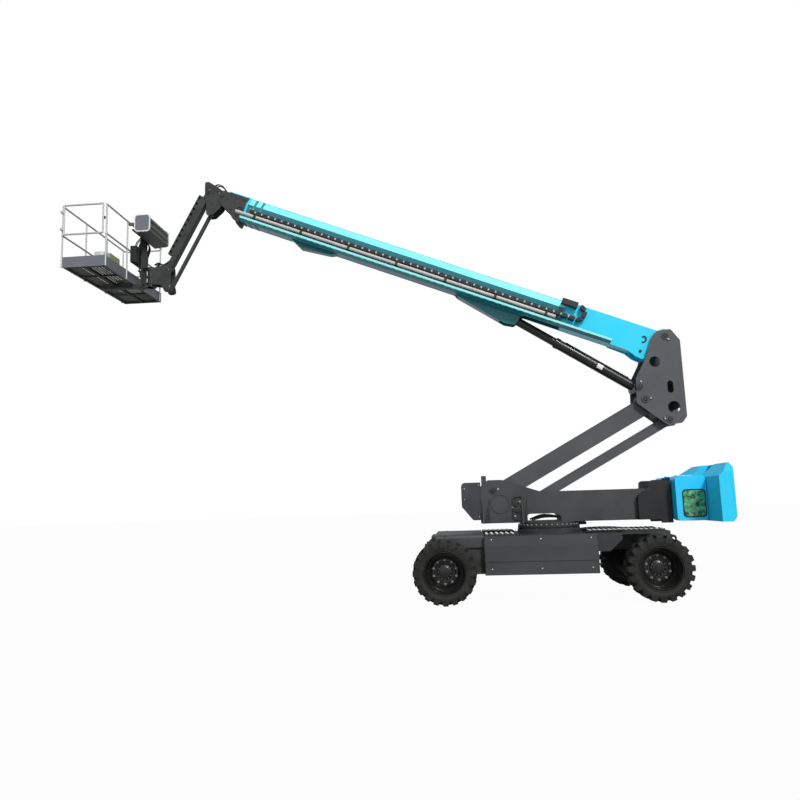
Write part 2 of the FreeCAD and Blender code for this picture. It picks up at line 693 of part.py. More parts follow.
def turret_frame():
    """Deep channel weldment: two side plates on a floor plate, with gussets outside the front."""
    inner, outer = S.turret_inner, S.turret_inner + S.plate
    near = turret_side("turret_near", -outer, -inner)
    far = turret_side("turret_far", inner, outer)
    floor = flat_pad("turret_floor", [
        [(S.turret_front, -inner), (S.turret_rear, -inner), (S.turret_rear, inner),
         (S.turret_front, inner)]], S.turret_bottom, S.turret_bottom + S.plate)
    front = box("turret_front_plate", (S.turret_front, S.turret_front + S.plate), (-inner, inner),
                (S.turret_bottom + S.plate, S.arm_foot_z - 160))
    ribs = []
    for index, x in enumerate((S.turret_front + 20, S.arch_front - 60)):
        for side, sign in (("near", -1), ("far", 1)):
            foot = sign * (outer + 90)
            tip = sign * (outer + 18)
            edge = sign * outer
            outline = [(edge, S.turret_bottom), (foot, S.turret_bottom), (tip, S.turret_bottom + 430),
                       (edge, S.turret_bottom + 430)]
            ribs.append(cross_pad(f"gusset_{index}_{side}", [outline], x, x + 16))
    stop = side_pad("turret_rest", [[
        (S.hump_front - 105, S.arm_foot_z + 60), (S.hump_front - 20, S.arm_foot_z + 60),
        (S.hump_front - 20, S.hump_top + 75), (S.hump_front - 105, S.hump_top + 75)]],
        -outer, -inner)
    middle = (S.hood_front + S.hood_rear) / 2
    carriers = []
    for side, sign in (("near", -1), ("far", 1)):
        for end, base in (("front", middle - S.hinge_long / 2 - 17),
                          ("rear", middle + S.hinge_long / 2 + 5)):
            edges = sorted_pair(sign * inner, sign * outer)
            stem = box(f"hinge_stem_{end}_{side}", (base, base + 12), edges,
                       (S.turret_top - 65, HINGE_Z))
            head = rod(f"hinge_head_{end}_{side}", S.hinge_radius - 2, base, base + 12,
                       y=sign * HINGE_Y, z=HINGE_Z, along="x")
            carriers += [stem, head]
        carriers.append(rod(f"hinge_pin_{side}", S.hinge_pin, middle - S.hinge_long / 2 - 17,
                            middle + S.hinge_long / 2 + 17, y=sign * HINGE_Y, z=HINGE_Z,
                            along="x"))
    weld = fuse("turret_weld", near, far, floor, front, *ribs, stop, *carriers)
    arm_pin = pin_with_heads("arm_foot_pin", S.pin_radius, outer, S.arm_foot_x, S.arm_foot_z)
    link_pin = pin_with_heads("link_foot_pin", S.pin_radius, outer, S.arm_foot_x + S.link_dx,
                              S.arm_foot_z + S.link_dz)
    piece("turret_frame", group("turret_with_pins", weld, arm_pin, link_pin), S.slew_x)


def nose_cover():
    """Rounded cover over the hoses at the front of the turret."""
    front, back = S.nose_front, S.turret_front
    half = S.nose_half
    outline = [(back, S.nose_bottom), (front + 190, S.nose_bottom, 50),
               (front, S.nose_bottom + 235, 50), (front, S.nose_top, 70), (back, S.nose_top)]
    shell = side_pad("nose_shell", [outline], -half, half)
    wall = 8
    hollow = side_pad("nose_hollow", [[
        (back + 1, S.nose_bottom + wall), (front + 194, S.nose_bottom + wall, 44),
        (front + wall, S.nose_bottom + 238, 44), (front + wall, S.nose_top - wall, 62),
        (back + 1, S.nose_top - wall)]], -half + wall, half - wall)
    piece("nose_cover", cut("nose_body", shell, hollow), S.slew_x)


def housings():
    """Black boxes for the valves and the ground controls, one on each side plate."""
    inner, outer = S.turret_inner + S.plate, S.housing_face
    front, rear, low = S.housing_front, S.housing_rear, S.turret_bottom
    outline = [(front, low), (rear - 180, low), (rear - 160, low - 60), (rear + 10, low - 60),
               (rear, low + 40), (rear, S.housing_top, 20), (front + 215, S.housing_top, 60),
               (front + 215, S.housing_top - 120, 30), (front, S.housing_shoulder, 50)]
    near = side_pad("housing", [outline], -outer, -inner)
    piece("housings", group("housing_pair", near, mirrored("housing_twin", near)), S.slew_x)


def hoods():
    """Rounded moulded hoods beside the counterweight, each hung on a tube hinge at its top edge."""
    inner, outer, wall = S.turret_inner + S.plate + 6, S.hood_face, S.hood_wall
    front, rear = S.hood_front, S.hood_rear
    low, high, corner = S.hood_bottom, S.hood_top, S.hood_corner
    shell = side_pad("hood_shell", [[(front, low, corner), (rear, low, corner),
                                     (rear, high, corner), (front, high, corner)]], -outer, -inner)
    hollow = side_pad("hood_hollow", [[
        (front + wall, low + wall, corner - wall), (rear - wall, low + wall, corner - wall),
        (rear - wall, high - wall, corner - wall), (front + wall, high - wall, corner - wall)]],
        -outer + wall, -inner + 1)
    start = (front + rear) / 2 - S.hinge_long / 2
    end = start + S.hinge_long
    tube = rod("hood_hinge", S.hinge_radius, start, end, y=-HINGE_Y, z=HINGE_Z, along="x")
    leaf = box("hood_leaf", (start, end), (-HINGE_Y - S.hinge_leaf, -HINGE_Y),
               (high - 2, HINGE_Z))
    bore = rod("hood_hinge_bore", S.hinge_pin + S.pin_gap, start - 1, end + 1, y=-HINGE_Y,
               z=HINGE_Z, along="x")
    near = cut("hood_body", fuse("hood_weld", shell, tube, leaf), hollow, bore)
    far = mirrored("hood_twin", near)
    piece("hood_near", group("hood_near_copy", near), S.slew_x)
    piece("hood_far", far, S.slew_x)


def counterweight():
    """Cast counterweight across the tail, curved about the slew axis and notched for the riser."""
    low, top, crest, half = S.weight_bottom, S.weight_top, S.crest_top, S.weight_half
    front, reach, corner = S.weight_front, S.weight_reach, S.weight_corner
    profile = side_pad("weight_profile", [[
        (front, low), (reach + 10, low), (reach + 10, crest), (S.crest_x, crest, 40),
        (front, top)]], -half, half)
    tail = turned("tail_sweep", [
        (reach / 3, low), (reach - corner * 0.6, low), (reach, low + corner * 0.8),
        (reach, crest - corner), (reach - corner * 0.7, crest), (reach / 3, crest)])
    shoulder = top + (crest - top) * 0.25
    ends = cross_pad("weight_ends", [[
        (-half, low), (half, low), (half, shoulder), (S.crest_half, crest, corner),
        (-S.crest_half, crest, corner), (-half, shoulder)]], front, reach)
    start = reach - corner * 3.65
    plan = flat_pad("weight_plan", [[
        (front, -half), (start, -half, corner * 2), (reach, start - reach - half + corner * 7.3),
        (reach, reach - start + half - corner * 7.3), (start, half, corner * 2), (front, half)]],
        low, crest)
    slot = box("riser_slot", (front - 10, S.slot_rear), (-S.slot_half, S.slot_half),
               (S.slot_floor, crest + 10))
    swept = doc.addObject("Part::MultiCommon", "weight_swept")
    swept.Shapes = [profile, tail, ends, plan]
    piece("counterweight", cut("weight_body", swept, slot), S.slew_x)


# ---------------------------------------------------------------- riser

def beam(name, length, over, under, boss, half, wall, boss_low, boss_high):
    """A welded box beam along X, straight from end to end, with a bored boss across each end."""
    fit = S.pin_radius + S.pin_gap
    end, foot = boss * 0.7, boss * 0.6
    outline = [(-end, -under / 2), (foot, -under), (length - foot, -under),
               (length + end, -under / 2), (length + end, over), (-end, over)]
    solid = side_pad(name + "_solid", [outline], -half, half)
    inside = (boss * 1.5, length - boss * 1.5)
    hollow = box(name + "_hollow", inside, (-half + wall, half - wall),
                 (-under + wall, over - wall))
    drain = rod(name + "_drain", 30, -under - 5, -under / 2, x=boss * 3, along="z")
    foot = rod(name + "_foot_boss", boss, -boss_low, boss_low)
    head = rod(name + "_head_boss", boss, -boss_high, boss_high, x=length)
    bores = [rod(name + "_foot_bore", fit, -boss_low - 1, boss_low + 1),
             rod(name + "_head_bore", fit, -boss_high - 1, boss_high + 1, x=length)]
    weld = fuse(name + "_weld", solid, foot, head)
    return cut(name + "_beam", weld, hollow, drain, *bores)


def riser_beams():
    """The arm and the link below it: together the parallelogram that keeps the upright upright."""
    low, high = S.turret_inner - 5, S.upright_inner - 5
    arm = beam("arm", S.arm_length, S.arm_over, S.arm_under, S.arm_boss, S.arm_half, S.arm_wall,
               low, high)
    piece("riser_arm", arm, S.slew_x + S.arm_foot_x, 0, S.arm_foot_z, -S.arm_angle)
    link = beam("link", S.arm_length, S.link_over, S.link_under, S.link_boss, S.link_half,
                S.link_wall, low, high)
    piece("riser_link", link, S.slew_x + S.arm_foot_x + S.link_dx, 0,
          S.arm_foot_z + S.link_dz, -S.arm_angle)


TOP_X = S.slew_x + S.arm_foot_x + S.arm_length * cosine(S.arm_angle)
TOP_Z = S.arm_foot_z + S.arm_length * sine(S.arm_angle)


def upright():
    """The upright that joins the riser to the boom: two profiled plates and a web at the back."""
    fit = S.pin_radius + S.pin_gap
    inner, outer = S.upright_inner, S.upright_inner + S.upright_plate
    rim, back, foot, slot = S.upright_rim, S.upright_back, S.upright_foot, S.port_slot
    outline = [
        (S.boom_dx - rim * 1.2, S.boom_dz + rim * 0.8, rim * 0.45),
        (S.boom_dx + rim * 0.9, S.boom_dz + rim, rim * 0.45),
        (back, S.boom_dz - rim * 0.85, rim * 0.36), (back + rim * 0.12, -foot * 0.7, rim * 0.27),
        (back - rim * 0.65, -foot * 0.94, rim * 0.36), (S.link_dx - rim * 0.42, -foot, rim * 0.55),
        (-rim * 1.36, -rim * 0.68, rim * 0.55), (S.ram_dx - rim * 0.55, S.ram_dz + rim * 1.25,
                                                 rim * 0.36),
        (S.boom_dx - rim * 3.65, S.boom_dz - rim * 4.2),
        (S.boom_dx - rim * 1.96, S.boom_dz + rim * 0.14, rim * 0.55)]
    bores = [Hole(0, 0, fit), Hole(S.link_dx, S.link_dz, fit), Hole(S.boom_dx, S.boom_dz, fit),
             Hole(S.ram_dx, S.ram_dz, fit)]
    ports = [Hole(S.boom_dx * 0.49, S.boom_dz * 0.584, S.port_high),
             Hole(S.link_dx * 1.22, S.link_dz * 0.45, S.port_low)]
    middle = back * 0.657
    window = [(middle - slot * 0.51, slot * 0.86, slot * 0.5),
              (middle + slot * 0.51, slot * 0.86, slot * 0.5),
              (middle + slot * 0.51, slot * 3.06, slot * 0.5),
              (middle - slot * 0.51, slot * 3.06, slot * 0.5)]
    plates = [side_pad("upright_near", [outline, *bores, *ports, window], -outer, -inner),
              side_pad("upright_far", [outline, *bores], inner, outer)]
    web = box("upright_web", (back - rim * 0.93, back - rim * 0.75), (-inner, inner),
              (-foot * 0.38, S.boom_dz - rim * 1.86))
    weld = fuse("upright_weld", *plates, web)
    pins = []
    for name, x, z in (("arm_top", 0, 0), ("link_top", S.link_dx, S.link_dz),
                       ("boom", S.boom_dx, S.boom_dz), ("ram", S.ram_dx, S.ram_dz)):
        pins.append(pin_with_heads(name + "_pin", S.pin_radius, outer, x, z))
    piece("upright", group("upright_with_pins", weld, *pins), TOP_X, 0, TOP_Z)


BOOM_X = TOP_X + S.boom_dx
BOOM_Z = TOP_Z + S.boom_dz


# ---------------------------------------------------------------- boom

def boom_profile(inset):
    """Six-sided boom section, taken in from the outside by an inset."""
    top, shoulder, low = S.boom_top_half - inset, S.boom_half - inset, S.boom_low_half - inset
    high, mid, bottom = S.boom_top - inset, -S.boom_shoulder, -S.boom_bottom + inset
    return [(-low, bottom), (low, bottom), (shoulder, mid), (top, high), (-top, high),
            (-shoulder, mid)]


def boom_tube(name, inset, front, tail):
    return cross_pad(name, [boom_profile(inset), boom_profile(inset + S.boom_wall)], -front, -tail)


STEP_IN = S.boom_wall + S.slide_gap
MID_FRONT = S.boom_front + S.mid_beyond
NOSE_U = S.boom_front + S.nose_beyond


def boom_outer():
    """Outer boom section: a six-sided tube with a cheek plate each side of the pivot."""
    tube = boom_tube("outer_tube", size(0), S.boom_front, S.boom_tail)
    inner, outer = S.boom_half, S.boom_half + S.cheek_thick
    low = S.boom_bottom
    outline = [(-S.cheek_front, S.boom_top), (80, S.boom_top, 40), (110, -90, 60),
               (-190, -S.cheek_lobe, 70), (-345, -S.cheek_lobe + 15, 40), (-500, -low - 24),
               (-S.tray_rear + 5, -low - 12), (-S.tray_rear + 5, -low + S.tray_plate),
               (-S.cheek_front, -low + S.tray_plate)]
    cheeks = [side_pad("cheek_near", [outline], -outer, -inner),
              side_pad("cheek_far", [outline], inner, outer)]
    lid = box("cheek_lid", (-S.cheek_front, -S.boom_tail), (-inner, inner),
              (S.boom_top - 10, S.boom_top))
    boss_half = S.upright_inner - 5
    boss = rod("boom_boss_body", S.boom_boss, -boss_half, boss_half)
    bore = rod("boom_bore", S.pin_radius + S.pin_gap, -boss_half - 1, boss_half + 1)
    weld = fuse("outer_weld", tube, *cheeks, lid, boss, ram_ears(), rest_wedge())
    way = box("ram_slot", (-S.slot_end, -S.slot_start), (-S.ear_inner, S.ear_inner),
              (-low - 1, -low + S.boom_wall + 1))
    bored = cut("outer_bored", weld, bore, way)
    stubs = []
    for side, sign in (("near", -1), ("far", 1)):
        inner, outer = S.ear_inner, S.ear_inner + S.ear_plate
        stub = rod(f"ram_stub_{side}", S.ram_pin, *sorted_pair(sign * inner, sign * outer),
                   x=-S.ram_u, z=-S.ram_v)
        head = rod(f"ram_stub_head_{side}", S.ram_pin + 16,
                   *sorted_pair(sign * outer, sign * (outer + S.head_thick)), x=-S.ram_u,
                   z=-S.ram_v)
        stubs.append(fuse(f"ram_stub_set_{side}", stub, head))
    piece("boom_outer", group("outer_with_pin", bored, *stubs), BOOM_X, 0, BOOM_Z, S.boom_angle)


def ram_ears():
    """Bracket under the outer boom: two ears for the lift cylinder's pin and a skin ahead of it."""
    low = S.boom_bottom
    inner, outer = S.ear_inner, S.ear_inner + S.ear_plate
    pin_x, pin_z = -S.ram_u, -S.ram_v
    outline = [(pin_x - 1170, -low + 5), (pin_x - 1070, -low - 50), (pin_x - 100, pin_z - 150, 40),
               (pin_x + 95, pin_z - 120, 80), (pin_x + 130, -low - 40), (pin_x + 200, -low + 5)]
    hole = Hole(pin_x, pin_z, S.ram_pin + S.pin_gap)
    ears = [side_pad("ear_near", [outline, hole], -outer, -inner),
            side_pad("ear_far", [outline, hole], inner, outer)]
    skin = side_pad("ear_skin", [[
        (pin_x - 1070, -low - 50), (pin_x - 200, pin_z - 135), (pin_x - 200, pin_z - 121),
        (pin_x - 1070, -low - 36)]], -inner, inner)
    return fuse("ram_ears", *ears, skin)


def rest_wedge():
    """Wedge under the front of the outer boom on which it rests when stowed."""
    low, front = S.boom_bottom, -S.boom_front
    outline = [(front + 990, -low + 5), (front + 1250, -low - 120, 30),
               (front + 1830, -low - 60, 20), (front + 1970, -low + 5)]
    holes = [Hole(front + 1330, -low - 45, 18), Hole(front + 1450, -low - 45, 18)]
    return side_pad("rest_wedge", [outline, *holes], -70, 70)


def boom_mid():
    """Middle section with the collar that closes the outer one, its cover and the hose conduit."""
    inset = STEP_IN
    front = MID_FRONT + S.collar_long
    tube = boom_tube("mid_tube", inset, front, S.mid_tail)
    start = S.boom_front + 6
    collar = cross_pad("mid_collar", [boom_profile(size(0)), boom_profile(inset + S.boom_wall)],
                       -front, -start)
    cover = box("mid_cover", (-S.boom_front - 470, -start), (-S.boom_top_half, S.boom_top_half),
                (S.boom_top, S.boom_top + 14))
    conduit = rod("conduit", S.tube_radius, -S.boom_front - 120, -S.tube_start, y=-S.tube_y,
                  z=-S.tube_v, along="x")
    clamp = box("conduit_clamp", (-front, -start), (-S.tube_y, -S.boom_low_half),
                (-S.tube_v - 12, -S.tube_v + 12))
    weld = fuse("mid_weld", tube, collar, cover, conduit, clamp)
    piece("boom_mid", weld, BOOM_X, 0, BOOM_Z, S.boom_angle)


def boom_fly():
    """Inner section with the dark head that carries the nose bracket."""
    inset = STEP_IN * 2
    tube = boom_tube("fly_tube", inset, S.boom_front + S.fly_beyond, S.fly_tail)
    piece("boom_fly", tube, BOOM_X, 0, BOOM_Z, S.boom_angle)
    start = MID_FRONT + S.collar_long + 6
    inner, outer = S.head_half - S.head_plate, S.head_half
    top, low = S.boom_top - 22, S.boom_bottom + 70
    nose_x, nose_z = -NOSE_U, -S.nose_v
    outline = [(-start, top), (nose_x - 10, top, 60), (nose_x - 75, nose_z - 10, 60),
               (nose_x - 30, nose_z - 120), (nose_x + 70, nose_z - 200),
               (nose_x + 250, nose_z - 280), (nose_x + 380, -low + 60), (-start, -low)]
    bore = Hole(nose_x, nose_z, S.jib_pin + S.pin_gap)
    plates = [side_pad("head_near", [outline, bore], -outer, -inner),
              side_pad("head_far", [outline, bore], inner, outer)]
    frame = cross_pad("head_frame", [
        [(-outer, -low), (outer, -low), (outer, top), (-outer, top)], boom_profile(inset)],
        -start - 60, -start)
    weld = fuse("head_weld", *plates, frame)
    pin = pin_with_heads("nose_pin", S.jib_pin, S.head_half, nose_x, nose_z, S.jib_pin + 14)
    piece("boom_head", group("head_with_pin", weld, pin), BOOM_X, 0, BOOM_Z, S.boom_angle)


def chain_tray():
    """Folded tray for the drag chain along the near side, slotted in its floor."""
    out, near = S.tray_face, S.boom_low_half + 4
    low = S.boom_bottom
    floor = flat_pad("tray_floor", [
        [(-S.boom_front, -out), (-S.tray_rear, -out), (-S.tray_rear, -near),
         (-S.boom_front, -near)]], -low, -low + S.tray_plate)
    lip = box("tray_lip", (-S.boom_front, -S.tray_rear), (-out, -out + S.tray_plate),
              (-low + S.tray_plate, -low + S.tray_lip))
    end = box("tray_end", (-S.boom_front, -S.boom_front + 160), (-near - 24, -near - 18),
              (-low + S.tray_plate, -low + 180))
    piece("chain_tray", fuse("tray_fold", floor, lip, end), BOOM_X, 0, BOOM_Z, S.boom_angle)


def chain_link_at(name, x, z):
    """One link of the drag chain, its middle at a point of the boom's own frame."""
    long, deep, cut_off = S.chain_link / 2, S.chain_deep / 2, S.chain_chamfer
    corners = [(x - long, z - deep + cut_off), (x - long + cut_off, z - deep),
               (x + long - cut_off, z - deep), (x + long, z - deep + cut_off),
               (x + long, z + deep - cut_off), (x + long - cut_off, z + deep),
               (x - long + cut_off, z + deep), (x - long, z + deep - cut_off)]
    body = side_pad(name, [corners], -S.chain_y - S.chain_half, -S.chain_y + S.chain_half)
    body.AllowCompound = True
    return body


def drag_chain():
    """Drag chain: a row of links along the tray, a half turn of them and the block that holds it."""
    turn_x, turn_z = -S.chain_turn_u, -S.chain_turn_v
    low = turn_z - S.chain_turn_radius
    run = chain_link_at("chain_run", turn_x - S.chain_pitch / 2, low)
    row = run.newObject("PartDesign::LinearPattern", "chain_row")
    row.Originals = [run.Tip]
    row.Direction = (run.Group[0], ["H_Axis"])
    row.Reversed = True
    bind(row, "Length", S.chain_pitch * (S.chain_links - 1))
    bind(row, "Occurrences", S.chain_links)
    run.Tip = row
    bend = chain_link_at("chain_bend", size(0), -S.chain_turn_radius)
    curl = bend.newObject("PartDesign::PolarPattern", "chain_curl")
    curl.Originals = [bend.Group[1]]
    curl.Axis = (bend.Group[0], ["N_Axis"])
    curl.Angle = 120
    curl.Occurrences = 3
    bend.Tip = curl
    place(bend, turn_x, 0, turn_z, -30)
    height = turn_z + S.chain_turn_radius
    near, far = -S.chain_y - S.chain_half, -S.chain_y + S.chain_half
    block = box("chain_block", (turn_x - 40 - S.chain_block, turn_x - 40), (near, far),
                (height - S.chain_half, height + S.chain_half))
    bracket = box("chain_bracket", (-S.cheek_front + 10, -S.cheek_front + 170),
                  (far, -S.boom_half - S.cheek_thick), (height - 30, height + 25))
    holder = fuse("chain_holder", block, bracket)
    piece("drag_chain", group("chain_links", run, bend, holder), BOOM_X, 0, BOOM_Z, S.boom_angle)


# ---------------------------------------------------------------- lift cylinder

RAM_X = TOP_X + S.ram_dx
RAM_Z = TOP_Z + S.ram_dz
EYE_X = BOOM_X - S.ram_u * cosine(S.boom_angle) - S.ram_v * sine(S.boom_angle)
EYE_Z = BOOM_Z + S.ram_u * sine(S.boom_angle) - S.ram_v * cosine(S.boom_angle)
RAM_ANGLE = slope_of(EYE_Z - RAM_Z, RAM_X - EYE_X)


def lift_cylinder():
    """Boom lift cylinder: a bored barrel on the upright and a rod whose eye meets the boom's ears."""
    fit = S.rod_radius + S.pin_gap
    boss_half = S.upright_inner - 5
    shell = rod("barrel_shell", S.barrel_radius, -S.barrel_end, -S.ram_boss + 30, along="x")
    gland = rod("barrel_gland", S.gland_radius, -S.barrel_end, -S.barrel_end + S.gland_long,
                along="x")
    boss = rod("barrel_boss", S.ram_boss, -boss_half, boss_half)
    bore = rod("barrel_bore", fit, -S.barrel_end - 1, -S.ram_boss - 22, along="x")
    hole = rod("barrel_pin_hole", S.pin_radius + S.pin_gap, -boss_half - 1, boss_half + 1)
    barrel = cut("barrel_bored", fuse("barrel_weld", shell, gland, boss), bore, hole)
    piece("lift_barrel", barrel, RAM_X, 0, RAM_Z, RAM_ANGLE)
    eye_half = S.ear_inner - 6
    shank = rod("rod_shank", S.rod_radius, 0, S.rod_length, along="x")
    eye = rod("rod_eye", S.ram_eye, -eye_half, eye_half)
    eye_hole = rod("rod_eye_hole", S.ram_pin + S.pin_gap, -eye_half - 1, eye_half + 1)
    pin = rod("rod_eye_pin", S.ram_pin, -eye_half, eye_half)
    bored = cut("rod_bored", fuse("rod_weld", shank, eye), eye_hole)
    piece("lift_rod", group("rod_with_pin", bored, pin), EYE_X, 0, EYE_Z, RAM_ANGLE)


# ---------------------------------------------------------------- jib

NOSE_X = BOOM_X - NOSE_U * cosine(S.boom_angle) - S.nose_v * sine(S.boom_angle)
NOSE_Z = BOOM_Z + NOSE_U * sine(S.boom_angle) - S.nose_v * cosine(S.boom_angle)
JIB_X = NOSE_X + S.jib_dx
JIB_Z = NOSE_Z + S.jib_dz
TIP_X = JIB_X - S.jib_length * cosine(S.jib_angle)
TIP_Z = JIB_Z - S.jib_length * sine(S.jib_angle)


def nose_bracket():
    """Levelled bracket between the head plates that carries the feet of the jib and its link."""
    inner, outer = S.bracket_half - S.bracket_plate, S.bracket_half
    fit = S.jib_pin + S.pin_gap
    link_x, link_z = S.jib_dx + S.jib_link_dx, S.jib_dz + S.jib_link_dz
    outline = [(S.jib_dx - 56, 30, 40), (S.jib_dx - 56, 290, 40), (-265, 290, 40), (-110, 180, 40),
               (35, 70, 50), (75, -50, 50), (-50, -260, 60), (link_x + 60, link_z - 55, 50),
               (link_x - 65, link_z - 60, 50), (link_x - 60, -190, 60)]
    bores = [Hole(0, 0, fit), Hole(S.jib_dx, S.jib_dz, fit), Hole(link_x, link_z, fit)]
    plates = [side_pad("bracket_near", [outline, *bores], -outer, -inner),
              side_pad("bracket_far", [outline, *bores], inner, outer)]
    spacer = rod("bracket_spacer", 28, -inner, inner, x=-100, z=-200)
    boss = rod("bracket_boss", 52, -inner, inner)
    hole = rod("bracket_hole", fit, -inner - 1, inner + 1)
    weld = fuse("bracket_weld", *plates, spacer, cut("bracket_tube", boss, hole))
    jib_pin = pin_with_heads("jib_foot_pin", S.jib_pin, outer, S.jib_dx, S.jib_dz,
                             S.jib_pin + 14)
    link_pin = rod("jib_link_foot_pin", S.jib_pin, -outer, outer, x=link_x, z=link_z)
    piece("nose_bracket", group("bracket_with_pins", weld, jib_pin, link_pin), NOSE_X, 0, NOSE_Z)


def jib_arm():
    """Box jib with a bored boss at each end and feet for its hose guard."""
    long, half, deep = S.jib_length, S.jib_half, S.jib_deep / 2
    wall, boss, fit = S.jib_wall, S.jib_boss, S.jib_pin + S.pin_gap
    boss_half = S.bracket_half - S.bracket_plate - 5
    solid = box("jib_solid", (-long, 0), (-half, half), (-deep, deep))
    hollow = box("jib_hollow", (-long + boss + 30, -boss - 30), (-half + wall, half - wall),
                 (-deep + wall, deep - wall))
    drain = rod("jib_drain", 15, -deep - 1, 0, x=-boss - 120, along="z")
    bosses = [rod("jib_foot_boss", boss, -boss_half, boss_half),
              rod("jib_tip_boss", boss, -boss_half, boss_half, x=-long)]
    bores = [rod("jib_foot_bore", fit, -boss_half - 1, boss_half + 1),
             rod("jib_tip_bore", fit, -boss_half - 1, boss_half + 1, x=-long)]
    whole = cut("jib_beam", fuse("jib_weld", solid, *bosses), hollow, drain, *bores)
    piece("jib_arm", whole, JIB_X, 0, JIB_Z, -S.jib_angle)


def jib_guard():
    """Perforated channel over the jib's hoses, its row of holes a linear pattern."""
    low, high, plate = S.guard_low, S.guard_high, S.guard_plate
    half = S.jib_half
    channel = cross_pad("guard_channel", [[
        (-half, S.jib_deep / 2), (-half + plate, S.jib_deep / 2), (-half + plate, high - plate),
        (half - plate, high - plate), (half - plate, S.jib_deep / 2), (half, S.jib_deep / 2),
        (half, high, 12), (-half, high, 12)]], -S.guard_end, -S.guard_start)
    punch = channel.newObject("Sketcher::SketchObject", "guard_punch")
    base = [f for f in channel.Origin.OriginFeatures if f.Role == "XZ_Plane"][0]
    punch.AttachmentSupport = (base, [""])
    punch.MapMode = "FlatFace"
    pitch = (S.guard_end - S.guard_start) / S.guard_holes
    middle_x, middle_z, reach = -S.guard_start - pitch / 2, (low + high) / 2, S.guard_hole
    draw_outline(punch, [(middle_x + dx * reach, middle_z + dz * reach) for dx, dz in (
        (1, 0.41), (0.41, 1), (-0.41, 1), (-1, 0.41), (-1, -0.41), (-0.41, -1), (0.41, -1),
        (1, -0.41))])
    hole = channel.newObject("PartDesign::Pocket", "guard_hole")
    hole.Profile = punch
    hole.SideType = "Symmetric"
    hole.Type = "ThroughAll"
    row = channel.newObject("PartDesign::LinearPattern", "guard_row")
    row.Originals = [hole]
    row.Direction = (punch, ["H_Axis"])
    row.Reversed = True
    bind(row, "Length", pitch * (S.guard_holes - 1))
    bind(row, "Occurrences", S.guard_holes)
    channel.Tip = row
    piece("jib_guard", channel, JIB_X, 0, JIB_Z, -S.jib_angle)


def jib_link():
    """Slender link below the jib, an eye at each end: it keeps the jib head level."""
    long, half, deep = S.jib_length, S.jib_link_half, S.jib_link_deep / 2
    fit = S.jib_pin + S.pin_gap
    bar = box("jib_link_bar", (-long, 0), (-half, half), (-deep, deep))
    eyes = [rod("jib_link_foot", S.link_eye, -half, half),
            rod("jib_link_tip", S.link_eye, -half, half, x=-long)]
    bores = [rod("jib_link_foot_bore", fit, -half - 1, half + 1),
             rod("jib_link_tip_bore", fit, -half - 1, half + 1, x=-long)]
    link = cut("jib_link_bored", fuse("jib_link_weld", bar, *eyes), *bores)
    piece("jib_link", link, JIB_X + S.jib_link_dx, 0, JIB_Z + S.jib_link_dz, -S.jib_angle)


def jib_head():
    """Levelled head at the jib's tip: two plates and the body of the platform's rotator."""
    inner, outer = S.bracket_half - S.bracket_plate, S.bracket_half
    fit = S.jib_pin + S.pin_gap
    link_x, link_z = S.jib_link_dx, S.jib_link_dz
    outline = [(-280, 10), (-40, 62, 50), (70, 62, 50), (80, -60, 50), (70, -300, 60),
               (link_x + 62, link_z, 30), (link_x + 55, link_z - 58, 50),
               (link_x - 70, link_z - 58, 50), (-120, -330, 80), (-280, -310)]
    bores = [Hole(0, 0, fit), Hole(link_x, link_z, fit)]
    plates = [side_pad("head_plate_near", [outline, *bores], -outer, -inner),
              side_pad("head_plate_far", [outline, *bores], inner, outer)]
    web = box("head_web", (-290, -262), (-outer, outer), (-310, 10))
    turner = rod("rotator", S.turn_radius, S.rotator_low, S.rotator_high, x=S.turn_x, along="z")
    bore = rod("rotator_bore", S.rotator_pin + S.pin_gap, S.rotator_low - 1, S.rotator_high + 1,
               x=S.turn_x, along="z")
    weld = cut("jib_head_bored", fuse("jib_head_weld", *plates, web, turner), bore)
    pins = [pin_with_heads("jib_tip_pin", S.jib_pin, outer, size(0), size(0), S.jib_pin + 14),
            pin_with_heads("jib_link_tip_pin", S.jib_pin, outer, link_x, link_z,
                           S.jib_pin + 14)]
    piece("jib_head", group("jib_head_with_pins", weld, *pins), TIP_X, 0, TIP_Z)


# ---------------------------------------------------------------- platform, about its own axis

CAGE_X = TIP_X + S.turn_x
INNER_X = -S.cage_gap
OUTER_X = -S.cage_gap - S.cage_wide
END_Y = S.cage_long / 2


